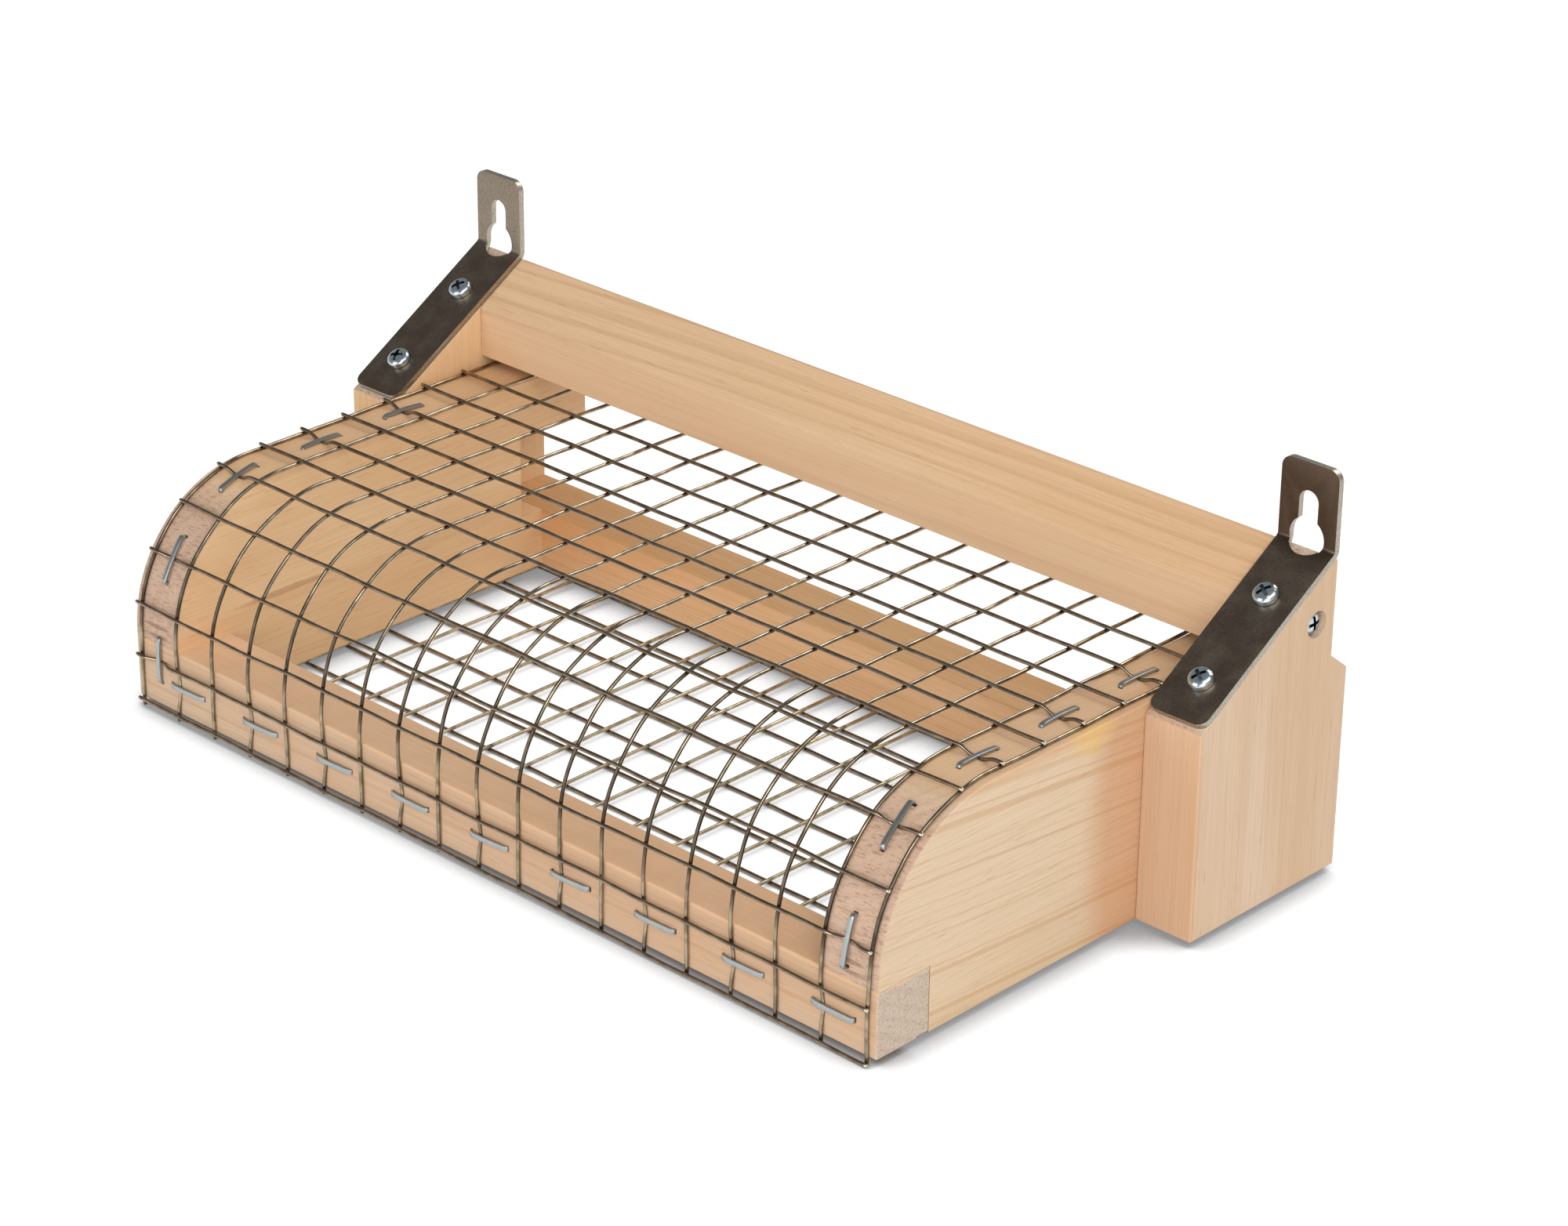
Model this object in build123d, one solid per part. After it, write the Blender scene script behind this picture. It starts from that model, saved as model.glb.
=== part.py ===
from build123d import *
import math
import os

# Hive entrance wasp guard: a wooden porch with a bent wire hood and a flat wire floor.
# Bench axes: X across the hive front, Y towards the hive, Z up, in millimetres.
# Bench datum: the middle of the width, the front face of the cheeks, the underside of the wood.

# Wood
board = 15.0                    # thickness of the cheeks and the posts
clear_width = 203.0             # between the inner faces of the cheeks
cheek_depth = 130.0
cheek_height = 51.0
rail_height = 15.6
rail_depth = 15.5
nose_lift = 1.4                 # straight front of a cheek, above the rail, below the rounded nose
slot_height = 21.5              # side slot of a cheek, above the rear rail
slot_reach = 22.2               # side slot, forward of the back edge
rabbet_depth = 0.7              # shallow step along the inner bottom edges, for the floor mesh
rabbet_fit = 0.5                # room past the ends of the floor wires
post_depth = 49.3
post_front_drop = 2.2           # front top edge of the posts, below the top of the cheeks
slope = 31.4                    # degrees, top of the posts and of the lintel
top_land = 1.2                  # narrow level strip at the top of the slope
back_step = 5.7                 # the upper back lies this far forward of the lower back
back_step_drop = 3.3            # lower edge of the step, below the top of the cheeks
back_step_rise = 4.5            # height of the slanting part of the step
lintel_thickness = 15.0
arris = 0.4                     # radius of the eased wood edges

# Wire mesh; the wires are spread evenly between their outer ones, as near to the pitch as fits
wire = 0.9                      # diameter
pitch = 12.7                    # centre to centre
edge_inset = 2.2                # outer lengthwise hood wire, in from the outer face of the cheek
row_inset = 0.7                 # tips of the crosswise hood wires, in from that face
hem_height = -0.5               # lowest crosswise hood wire, from the underside of the wood
first_row_height = 11.6         # next crosswise hood wire
lintel_lap = 4.7                # last crosswise hood wire, behind the front face of the lintel
lintel_room = 0.8               # between the hood and the underside of the lintel
hood_tail = 2.0                 # lengthwise hood wires run past the last crosswise wire
dip_reach = 5.0                 # half the length over which a stapled crosswise wire bends to the wood
dip_flat = 1.0                  # half the length that lies on the wood
dip_bend = 3.0                  # bend radius there
floor_lap = 1.3                 # outer crosswise floor wires, behind the inner faces of the rails
floor_side_lap = 0.1            # the same at the cheeks, before the shift
floor_shift = -1.6              # the floor mesh sits this far to one side
floor_tail = 2.0                # lengthwise floor wires run past the last crosswise wire
floor_side_tail = 2.9           # crosswise floor wires run past the last lengthwise wire
floor_drop = 0.6                # the floor hangs on its staples this far below the step

# Staples
crown = 12.0                    # outer length
staple_width = 1.2
staple_thickness = 0.6
staple_leg = 8.0                # depth in the wood
staple_bend = 0.3               # inner radius of the bent corners
staple_fit = 0.05               # room round a leg and beside a wire
front_staple_height = 7.0
front_staple_shift = 3.2        # middle of the crown, beside its wire
front_staple_every = 2          # one on every second lengthwise wire
floor_staple_every = 4
free_rows = 2                   # the last crosswise hood wires, by the lintel, have no staple

# Steel brackets
strip_width = 15.0
strip_thickness = 1.5
strip_length = 49.0             # sloping leg, up to the bend
tab_height = 18.4               # upright tab, above the bend
bend_radius = 1.0               # inside of the bend
strip_corner = 2.6              # radius of the corners
keyhole_round = 9.0             # diameter of the entry hole
keyhole_round_height = 1.5      # its centre, above the bend
keyhole_neck = 5.0              # width of the slot above it
keyhole_top = 12.1              # top of that slot, above the bend
lower_screw_place = 10.0        # from the lower end of the strip
upper_screw_place = 34.0
strip_fit = 0.3                 # room round a shank in the strip

# Screws
head_diameter = 5.8
head_height = 2.3
head_rim = 0.9                  # straight side of the pan head
shank = 2.8
screw_point = 3.0               # length of the tip
bracket_screw_length = 8.0      # under the head
lintel_screw_length = 32.0
drive_length = 3.4              # cross recess in the head
drive_width = 0.8
drive_depth = 1.3
screw_fit = 0.05                # room round a shank in wood
sink_depth = 0.5                # top of a lintel screw, below the face of the post
sink_fit = 0.2                  # room round a sunk head
lintel_screw_setback = 6.1      # forward of the upper back
lintel_screw_rise = 7.9         # above the underside of the lintel

# Places worked out from the sizes
cheek_inner = clear_width / 2
cheek_outer = cheek_inner + board
post_outer = cheek_outer + board
nose_start = rail_height + nose_lift
nose_radius = cheek_height - nose_start
lean = math.radians(slope)
post_front = cheek_depth - post_depth
post_front_height = cheek_height - post_front_drop
back_step_height = cheek_height - back_step_drop
upper_back = cheek_depth - back_step
land_front = upper_back - top_land
wood_top = post_front_height + (land_front - post_front) * math.tan(lean)
lintel_front = upper_back - lintel_thickness
lintel_base = cheek_height + 2 * wire + lintel_room
lintel_crease = post_front_height + (lintel_front - post_front) * math.tan(lean)
rail_inner = cheek_depth - rail_depth
floor_top = rabbet_depth - floor_drop
foot = 2 * wire - floor_top
hood_front = -2 * wire
over = 2 * board                # cutters run this far past the wood
to_origin = Location((0, -(cheek_depth + hood_front) / 2, foot))


def spread(first, last):
    """Evenly spaced places from first to last, about one pitch apart."""
    gaps = round((last - first) / pitch)
    return [first + (last - first) * index / gaps for index in range(gaps + 1)]


def block(low, high):
    """A box between two corners."""
    size = Vector(*high) - Vector(*low)
    return Pos(*low) * Box(size.X, size.Y, size.Z, align=Align.MIN)


def across(face, first_x, last_x):
    """A face drawn in (y, z), carried across from first_x to last_x."""
    return extrude(Plane.YZ.offset(first_x) * face, last_x - first_x)


def eased(part):
    """A board with all its edges slightly rounded."""
    return fillet(part.edges(), arris)


def mirrored(part):
    """The same piece on the other side of the guard."""
    return mirror(part, about=Plane.YZ)


def group(shapes):
    """Separate solids kept together as one node."""
    return Compound([solid for shape in shapes for solid in shape.solids()])


def on_slope(distance, x):
    """Place on the sloping tops, by distance up from a post's front edge; local Z points out of the wood."""
    y = post_front + distance * math.cos(lean)
    z = post_front_height + distance * math.sin(lean)
    return Location((x, y, z), (slope, 0, 0))


def on_hood(travel, x):
    """Place on the wood under the hood, by length along a lengthwise wire; local Z points out of it."""
    wire_radius = nose_radius + wire / 2
    turn = min(max((travel - nose_start) / wire_radius, 0), math.pi / 2)
    below = min(travel - nose_start, 0)
    past = max(travel - nose_start - wire_radius * math.pi / 2, 0)
    y = nose_radius * (1 - math.cos(turn)) + past
    z = nose_start + nose_radius * math.sin(turn) + below
    return Location((x, y, z), (90 - math.degrees(turn), 0, 0))


# Mesh layout
hood_edge = cheek_outer - edge_inset
hood_columns = spread(-hood_edge, hood_edge)
last_row_y = lintel_front + lintel_lap
last_row_travel = nose_start + (nose_radius + wire / 2) * math.pi / 2 + last_row_y - nose_radius
hood_rows = [hem_height] + spread(first_row_height, last_row_travel)
floor_edge = cheek_inner + floor_side_lap
floor_columns = [place + floor_shift for place in spread(-floor_edge, floor_edge)]
floor_rows = spread(rail_depth - floor_lap, rail_inner + floor_lap)
rail_rabbet = floor_lap + floor_tail + rabbet_fit
cheek_rabbet = floor_side_lap + abs(floor_shift) + wire / 2 + rabbet_fit

# Staple layout: the cheeks' staples take turns, odd rows on the left and even rows on the right
cheek_staple = (hood_columns[-1] + hood_columns[-2]) / 2
left_rows = range(1, len(hood_rows) - free_rows, 2)
right_rows = range(2, len(hood_rows) - free_rows, 2)
quarter_turn = Rotation(0, 0, 90)
left_places = [on_hood(hood_rows[row], -cheek_staple) * quarter_turn for row in left_rows]
right_places = [on_hood(hood_rows[row], cheek_staple) * quarter_turn for row in right_rows]
front_columns = hood_columns[1::front_staple_every]
front_places = [on_hood(front_staple_height, column + front_staple_shift) for column in front_columns]
beside_row = (wire + staple_width) / 2 + staple_fit
face_down = (180, 0, 0)
held_columns = floor_columns[floor_staple_every // 2::floor_staple_every]
floor_front_places = [
    Location((column, floor_rows[0] - beside_row, floor_top), face_down) for column in held_columns
]
floor_rear_places = [
    Location((column, floor_rows[-1] + beside_row, floor_top), face_down) for column in held_columns
]

# Screw layout
bend_gain = strip_thickness * math.tan(math.radians(90 - slope) / 2)
slope_length = (upper_back - post_front) / math.cos(lean)
strip_start = slope_length - strip_length - bend_gain
strip_middle = cheek_outer + board / 2
bracket_screws = {"lower": strip_start + lower_screw_place, "upper": strip_start + upper_screw_place}
lintel_screw_y = upper_back - lintel_screw_setback
lintel_screw_z = lintel_base + lintel_screw_rise
lintel_screw_seat = post_outer - sink_depth - head_height
lintel_screw_place = Location((lintel_screw_seat, lintel_screw_y, lintel_screw_z), (0, 90, 0))


# Staples: bent flat wire, the crown along local X, over a wire that lies on the wood
def staple(fit=0.0):
    """One staple, or, given a fit, the pocket that its legs make."""
    on_tips = (Align.CENTER, Align.MIN)
    tips = Pos(0, -staple_leg - fit)
    inside_height = wire + staple_leg + fit
    outer = tips * Rectangle(crown + 2 * fit, inside_height + staple_thickness, align=on_tips)
    outer = fillet(outer.vertices().group_by(Axis.Y)[-1], staple_bend + staple_thickness)
    inner = tips * Rectangle(crown - 2 * staple_thickness - 2 * fit, inside_height, align=on_tips)
    inner = fillet(inner.vertices().group_by(Axis.Y)[-1], staple_bend)
    return extrude(Plane.XZ * (outer - inner), staple_width / 2 + fit, both=True)


def staples(places):
    """A row of staples."""
    return group(place * staple() for place in places)


def pocketed(part, places):
    """A board with the holes that staple legs have made in it."""
    pocket = staple(staple_fit)
    return part - [place * pocket for place in places]


# Screws: a pan head with a cross recess, seated at local Z = 0, the shank pointing down
def pan_screw(length):
    """One wood screw."""
    head = Cylinder(head_diameter / 2, head_height, align=(Align.CENTER, Align.CENTER, Align.MIN))
    head = fillet(head.edges().group_by(Axis.Z)[-1], head_height - head_rim)
    arm = Box(drive_length, drive_width, 2 * drive_depth)
    head -= Pos(0, 0, head_height) * (arm + quarter_turn * arm)
    straight = length - screw_point
    stem = Cylinder(shank / 2, straight, align=(Align.CENTER, Align.CENTER, Align.MAX))
    tip = Cone(0, shank / 2, screw_point, align=(Align.CENTER, Align.CENTER, Align.MAX))
    return head + stem + Pos(0, 0, -straight) * tip


def shank_hole(length, fit):
    """Cutter for the shank of a screw."""
    return Cylinder(shank / 2 + fit, length, align=(Align.CENTER, Align.CENTER, Align.MAX))


# Cheeks: rounded nose, notches for the rails, a side slot at the back and a step for the floor mesh
def right_cheek():
    """The right side board."""
    outline = [
        Line((0, nose_start), (0, 0)),
        Line((0, 0), (cheek_depth, 0)),
        Line((cheek_depth, 0), (cheek_depth, cheek_height)),
        Line((cheek_depth, cheek_height), (nose_radius, cheek_height)),
        CenterArc((nose_radius, nose_start), nose_radius, 90, 90),
    ]
    part = eased(across(make_face(outline), cheek_inner, cheek_outer))
    past = cheek_outer + over
    part -= block((0, -over, -over), (past, rail_depth, rail_height))
    part -= block((0, rail_inner, -over), (past, cheek_depth + over, rail_height))
    slot_top = rail_height + slot_height
    part -= block((0, cheek_depth - slot_reach, rail_height), (past, cheek_depth + over, slot_top))
    part -= block((0, 0, -over), (cheek_inner + cheek_rabbet, cheek_depth, rabbet_depth))
    return part


# Rails: square sticks with a step along the inner bottom edge
def front_rail():
    """The front stick, let through both cheeks."""
    part = eased(block((-cheek_outer, 0, 0), (cheek_outer, rail_depth, rail_height)))
    step_front = rail_depth - rail_rabbet
    part -= block((-post_outer, step_front, -over), (post_outer, rail_depth + over, rabbet_depth))
    return pocketed(part, front_places + left_places + right_places + floor_front_places)


def rear_rail():
    """The rear stick, from post to post."""
    part = eased(block((-cheek_outer, rail_inner, 0), (cheek_outer, cheek_depth, rail_height)))
    step_back = rail_inner + rail_rabbet
    part -= block((-post_outer, rail_inner - over, -over), (post_outer, step_back, rabbet_depth))
    return pocketed(part, floor_rear_places)


# Posts: sloping boards with a stepped back, drilled for the screws of the bracket and the lintel
def right_post():
    """The right post."""
    outline = Polyline(
        (post_front, 0),
        (cheek_depth, 0),
        (cheek_depth, back_step_height),
        (upper_back, back_step_height + back_step_rise),
        (upper_back, wood_top),
        (land_front, wood_top),
        (post_front, post_front_height),
        close=True,
    )
    part = eased(across(make_face(outline), cheek_outer, post_outer))
    pilot = shank_hole(bracket_screw_length - strip_thickness, screw_fit)
    for distance in bracket_screws.values():
        part -= on_slope(distance, strip_middle) * pilot
    part -= lintel_screw_place * shank_hole(lintel_screw_length, screw_fit)
    sink = Cylinder(head_diameter / 2 + sink_fit, over, align=(Align.CENTER, Align.CENTER, Align.MIN))
    return part - lintel_screw_place * sink


# Lintel: a board between the posts, bevelled to their slope, that holds the hood down
def lintel():
    """The board over the rear end of the hood."""
    outline = Polyline(
        (lintel_front, lintel_base),
        (upper_back, lintel_base),
        (upper_back, wood_top),
        (land_front, wood_top),
        (lintel_front, lintel_crease),
        close=True,
    )
    part = eased(across(make_face(outline), -cheek_outer, cheek_outer))
    hole = lintel_screw_place * shank_hole(lintel_screw_length, screw_fit)
    return part - hole - mirrored(hole)


# Brackets: a bent strip on the slope, its tab flush with the upper back, a keyhole over the bend
def right_bracket():
    """The right bracket."""
    bend_y = upper_back - strip_thickness
    outer_bend_z = post_front_height + (upper_back - post_front) * math.tan(lean)
    bend_z = outer_bend_z + bend_gain
    tab_top = bend_z + tab_height
    low_y = bend_y - strip_length * math.cos(lean)
    low_z = bend_z - strip_length * math.sin(lean)
    under_y = low_y + strip_thickness * math.sin(lean)
    under_z = low_z - strip_thickness * math.cos(lean)
    section = make_face(Polyline(
        (low_y, low_z), (under_y, under_z), (upper_back, outer_bend_z),
        (upper_back, tab_top), (bend_y, tab_top), (bend_y, bend_z), close=True,
    ))
    section = fillet(section.vertices().sort_by_distance((bend_y, bend_z))[0], bend_radius)
    outer_bend = section.vertices().sort_by_distance((upper_back, outer_bend_z))[0]
    section = fillet(outer_bend, bend_radius + strip_thickness)
    part = across(section, strip_middle - strip_width / 2, strip_middle + strip_width / 2)
    corners = part.edges().filter_by(lambda edge: math.isclose(edge.length, strip_thickness, rel_tol=1e-6))
    part = fillet(corners, strip_corner)
    for distance in bracket_screws.values():
        part -= on_slope(distance, strip_middle) * Cylinder(shank / 2 + strip_fit, 2 * board)
    neck_end = keyhole_top - keyhole_neck / 2
    neck = Rectangle(keyhole_neck, neck_end - keyhole_round_height, align=(Align.CENTER, Align.MIN))
    keyhole = Pos(0, neck_end) * Circle(keyhole_neck / 2)
    keyhole += Pos(0, keyhole_round_height) * (neck + Circle(keyhole_round / 2))
    tab_middle = Pos(strip_middle, upper_back - strip_thickness / 2, bend_z)
    part -= tab_middle * extrude(Plane.XZ * keyhole, strip_thickness / 2 + bend_radius, both=True)
    strip_end = Location((strip_middle, bend_y, bend_z), (slope, 0, 0))
    entry = Cylinder(keyhole_round / 2, strip_thickness + 2 * bend_radius)
    return part - strip_end * Pos(0, keyhole_round_height, -strip_thickness / 2) * entry


# Hood: lengthwise wires bent over the nose of the cheeks, crosswise wires on top of them
def hood_column():
    """One lengthwise wire, in the middle of the width."""
    front = -wire / 2
    top = cheek_height + wire / 2
    path = Line((front, -foot), (front, nose_start))
    path += CenterArc((nose_radius, nose_start), nose_radius + wire / 2, 180, -90)
    path += Line((nose_radius, top), (last_row_y + hood_tail, top))
    section = Plane((0, front, -foot)) * Circle(wire / 2)
    return sweep(section, Plane.YZ * path)


def hood_row():
    """One plain crosswise wire, along local X."""
    return Pos(0, 0, 1.5 * wire) * Rotation(0, 90, 0) * Cylinder(wire / 2, 2 * (cheek_outer - row_inset))


def dipped_row():
    """A crosswise wire that a staple holds down to the wood on the right."""
    tip = cheek_outer - row_inset
    high = 1.5 * wire
    low = wire / 2
    path = FilletPolyline(
        (-tip, high),
        (cheek_staple - dip_reach, high),
        (cheek_staple - dip_flat, low),
        (cheek_staple + dip_flat, low),
        (cheek_staple + dip_reach, high),
        (tip, high),
        radius=dip_bend,
    )
    section = Plane((-tip, 0, high), z_dir=(1, 0, 0)) * Circle(wire / 2)
    return sweep(section, Plane.XZ * path)


def hood_crosswise():
    """All the crosswise wires of the hood."""
    plain = hood_row()
    right = dipped_row()
    left = mirrored(right)
    rows = []
    for index, travel in enumerate(hood_rows):
        shape = left if index in left_rows else right if index in right_rows else plain
        rows.append(on_hood(travel, 0) * shape)
    return group(rows)


# Floor: a flat mesh, its lengthwise wires in the steps of the wood and its crosswise wires under them
def floor_lengthwise():
    """All the lengthwise wires of the floor."""
    length = floor_rows[-1] - floor_rows[0] + 2 * floor_tail
    middle = (floor_rows[0] + floor_rows[-1]) / 2
    rod = Location((0, middle, floor_top - wire / 2), (90, 0, 0)) * Cylinder(wire / 2, length)
    return group(Pos(place, 0, 0) * rod for place in floor_columns)


def floor_crosswise():
    """All the crosswise wires of the floor."""
    length = floor_columns[-1] - floor_columns[0] + 2 * floor_side_tail
    rod = Location((floor_shift, 0, floor_top - 1.5 * wire), (0, 90, 0)) * Cylinder(wire / 2, length)
    return group(Pos(0, place, 0) * rod for place in floor_rows)


right_side = {
    "cheek": right_cheek(),
    "post": right_post(),
    "bracket": right_bracket(),
    "lintel_screw": lintel_screw_place * pan_screw(lintel_screw_length),
}
for name, distance in bracket_screws.items():
    seat = on_slope(distance, strip_middle) * Pos(0, 0, strip_thickness)
    right_side[f"bracket_{name}_screw"] = seat * pan_screw(bracket_screw_length)

nodes = {}
for name, shape in right_side.items():
    nodes[f"right_{name}"] = shape
    nodes[f"left_{name}"] = mirrored(shape)
nodes["right_cheek"] = pocketed(nodes["right_cheek"], right_places)
nodes["left_cheek"] = pocketed(nodes["left_cheek"], left_places)
nodes["front_rail"] = front_rail()
nodes["rear_rail"] = rear_rail()
nodes["lintel"] = lintel()
column = hood_column()
nodes["hood_lengthwise_wires"] = group(Pos(place, 0, 0) * column for place in hood_columns)
nodes["hood_crosswise_wires"] = hood_crosswise()
nodes["floor_lengthwise_wires"] = floor_lengthwise()
nodes["floor_crosswise_wires"] = floor_crosswise()
nodes["front_staples"] = staples(front_places)
nodes["left_cheek_staples"] = staples(left_places)
nodes["right_cheek_staples"] = staples(right_places)
nodes["front_floor_staples"] = staples(floor_front_places)
nodes["rear_floor_staples"] = staples(floor_rear_places)

os.makedirs("parts", exist_ok=True)
for name, shape in nodes.items():
    export_step(to_origin * shape, f"parts/{name}.step")
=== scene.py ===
"""Looks of a hive entrance wasp guard: planed boards, a bent wire hood, a flat wire floor and steel brackets.

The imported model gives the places. Sizes are in millimetres unless a name says otherwise.
X runs across the hive front, Y back towards the hive and Z up.
"""

import logging
import math
from dataclasses import dataclass
from enum import Enum
from random import Random
from typing import Callable, Iterable, Sequence

import bmesh
import bpy
from mathutils import Matrix, Vector


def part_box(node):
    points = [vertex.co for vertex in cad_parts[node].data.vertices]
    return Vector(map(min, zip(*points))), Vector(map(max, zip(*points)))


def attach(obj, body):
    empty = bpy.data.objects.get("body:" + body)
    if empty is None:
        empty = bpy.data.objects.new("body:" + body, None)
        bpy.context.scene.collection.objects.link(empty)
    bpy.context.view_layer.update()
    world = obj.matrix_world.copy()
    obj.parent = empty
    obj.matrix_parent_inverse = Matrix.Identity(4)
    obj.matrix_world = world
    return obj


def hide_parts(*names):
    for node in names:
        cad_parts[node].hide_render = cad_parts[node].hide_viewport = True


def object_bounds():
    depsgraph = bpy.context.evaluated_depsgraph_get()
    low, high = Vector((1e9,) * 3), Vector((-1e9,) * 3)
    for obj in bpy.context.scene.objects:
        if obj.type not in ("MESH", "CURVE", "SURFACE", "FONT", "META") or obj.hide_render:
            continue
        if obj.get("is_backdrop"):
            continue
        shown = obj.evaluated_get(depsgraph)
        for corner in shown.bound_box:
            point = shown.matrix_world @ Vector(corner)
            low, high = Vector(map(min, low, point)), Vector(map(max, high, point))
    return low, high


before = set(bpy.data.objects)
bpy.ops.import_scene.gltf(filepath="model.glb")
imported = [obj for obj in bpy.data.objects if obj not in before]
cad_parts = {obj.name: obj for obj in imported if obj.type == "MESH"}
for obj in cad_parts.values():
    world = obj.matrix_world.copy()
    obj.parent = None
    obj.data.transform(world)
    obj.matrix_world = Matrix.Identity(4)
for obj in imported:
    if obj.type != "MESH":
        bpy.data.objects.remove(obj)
CAD_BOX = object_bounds()

MM = 0.001                      # a millimetre, in the frame's metres
BODY = "root"                   # nothing on the guard moves, so it has one body
PITCH = 12.7                    # of both meshes, from wire to wire
WIRE = 0.9                      # thickness of the wire in both meshes
WIDE = 1000.0                   # reach of a mark that runs from end to end of the guard
HAIR = 0.01                     # a length, or a share, that is too small to matter
SMOOTH_BELOW = 40.0             # degrees between two faces that are still shaded as one
QUARTER = math.pi / 2           # a quarter turn
WHITE = "#ffffff"
WELD_AND_SHADE = "weld"                   # attribute: how near a wire's skin is to a weld, darkened there as burn and painted contact shade
CUT = "cut"                     # attribute: the cut face of a strip, or the cut tip of a wire
RECESS_SHADE = "recess_shade"               # attribute: the inside of a screw's slot, darkened there as painted shade
MIX_A, MIX_B, MIX_RESULT = 6, 7, 2      # colour sockets of a Mix node
RIGHT, BACK, UP = Vector((1, 0, 0)), Vector((0, 1, 0)), Vector((0, 0, 1))

Tree = bpy.types.NodeTree
Node = bpy.types.Node
Socket = bpy.types.NodeSocket
Material = bpy.types.Material
Mesh = bmesh.types.BMesh
Edge = bmesh.types.BMEdge
Vert = bmesh.types.BMVert
Inputs = dict[str | int, object]
Pair = tuple[float, float]
Triple = tuple[float, float, float]
Rgba = tuple[float, float, float, float]
Colour = Socket | Rgba          # the socket of a colour, or a linear colour

log = logging.getLogger("wasp_guard")


def linear(code: str) -> Rgba:
    """Turn an sRGB hex colour into the linear one that a shader takes.

    Args:
        code: the colour, as "#rrggbb".

    Returns:
        Red, green, blue and an alpha of 1.
    """
    shares = [int(code[start:start + 2], 16) / 255 for start in (1, 3, 5)]
    red, green, blue = (s / 12.92 if s <= 0.04045 else ((s + 0.055) / 1.055) ** 2.4 for s in shares)
    return red, green, blue, 1.0


def feed(tree: Tree, node: Node, inputs: Inputs) -> None:
    """Set or link the inputs of a node.

    Args:
        tree: the tree that holds the node.
        node: the node.
        inputs: a value, or the socket to link from, by the name or number of the input.
    """
    for key, value in inputs.items():
        if isinstance(value, Socket):
            tree.links.new(value, node.inputs[key])
        else:
            node.inputs[key].default_value = value


def add(tree: Tree, kind: str, inputs: Inputs | None = None, **settings: object) -> Node:
    """Add one node to a tree, with its settings, values and links.

    Args:
        tree: the tree that takes the node.
        kind: the node's type, without the ShaderNode that it starts with.
        inputs: a value, or the socket to link from, by the name or number of the input.
        settings: the node's own properties.

    Returns:
        The new node.
    """
    made = tree.nodes.new(f"ShaderNode{kind}")
    for name, value in settings.items():
        setattr(made, name, value)
    feed(tree, made, inputs or {})
    return made


def new_material(name: str) -> tuple[Material, Tree, Node]:
    """Start a material.

    Args:
        name: the real material's name.

    Returns:
        The material, its node tree and its shader.
    """
    material = bpy.data.materials.new(name)
    material.use_nodes = True
    tree = material.node_tree
    return material, tree, tree.nodes["Principled BSDF"]


def in_millimetres(tree: Tree, turn: Triple = (0, 0, 0)) -> Socket:
    """Coordinates on the piece, in millimetres.

    Args:
        tree: the tree that takes the nodes.
        turn: how the axes are turned, in radians.

    Returns:
        The socket of the coordinates.
    """
    place = add(tree, "TexCoord").outputs["Object"]
    inputs = {"Vector": place, "Rotation": turn, "Scale": (1 / MM, 1 / MM, 1 / MM)}
    return add(tree, "Mapping", inputs).outputs["Vector"]


def mottled(tree: Tree, place: Socket, cell: Triple, detail: float) -> Socket:
    """An uneven pattern, such as fibres, clouds or grit, with cells of a real size.

    Args:
        tree: the tree that takes the nodes.
        place: the socket of the coordinates, in millimetres.
        cell: size of a cell along each axis.
        detail: how many finer layers the pattern has.

    Returns:
        The socket of the pattern, about 0.5 on the mean.
    """
    cells = add(tree, "VectorMath", {0: place, 1: cell}, operation="DIVIDE").outputs["Vector"]
    return add(tree, "TexNoise", {"Vector": cells, "Scale": 1.0, "Detail": detail}).outputs["Fac"]


def stained(
    tree: Tree, colour: Colour, stain: str, pattern: Socket, low: float, high: float, share: float
) -> Socket:
    """Lay a second colour over a first, softly, where a pattern runs high.

    Args:
        tree: the tree that takes the nodes.
        colour: the first colour.
        stain: the second colour, in sRGB hex.
        pattern: the socket of the pattern.
        low: where in the pattern the second colour starts.
        high: where in the pattern it is at its strongest.
        share: how strong it is there.

    Returns:
        The socket of the colour.
    """
    inputs = {"Value": pattern, "From Min": low, "From Max": high, "To Max": share}
    amount = add(tree, "MapRange", inputs, interpolation_type="SMOOTHSTEP").outputs["Result"]
    inputs = {0: amount, MIX_A: colour, MIX_B: linear(stain)}
    return add(tree, "Mix", inputs, data_type="RGBA").outputs[MIX_RESULT]


class Grain(Enum):
    """The way a board's fibres run, and the turn that lays them along a pattern's first axis."""

    ACROSS = ((1.0, 0.0, 0.0), (0.0, 0.0, 0.0))
    BACK = ((0.0, 1.0, 0.0), (0.0, 0.0, -QUARTER))
    UPRIGHT = ((0.0, 0.0, 1.0), (0.0, QUARTER, 0.0))

    @property
    def axis(self) -> Triple:
        """The direction of the fibres."""
        return self.value[0]

    @property
    def turn(self) -> Triple:
        """The turn that lays the fibres along the pattern's first axis."""
        return self.value[1]


class Tone(Enum):
    """Colours of a board: its pale wood, its warmer patches, its growth lines and its fibres."""

    SAPWOOD = ("#e0c8a9", "#d8bb95", "#c39568", "#cdac87")
    BLUSH = ("#dec4aa", "#d6b795", "#c09066", "#cca886")
    PEACH = ("#e3bf97", "#daaf84", "#c08d5d", "#c99f75")
    STRAW = ("#f2d0a4", "#e8be8f", "#d09b67", "#d9af7f")
    DUSTY = ("#dbbea0", "#d3ad8b", "#b98c63", "#c29d7b")
    HONEY = ("#efc294", "#e3ae7b", "#c58b53", "#d09f6a")


@dataclass(frozen=True)
class Mark:
    """A mark on a surface, such as a resin streak, a bruise, or painted shade, light or reflection."""

    centre: Triple
    reach: Triple
    colour: str
    strength: float
    fade: float = 0.4               # width of its soft rim, as a share of its reach
    ragged: float = 0.6             # unevenness of its rim, as a share of its reach
    notch: float = 2.5              # length of that unevenness


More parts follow.
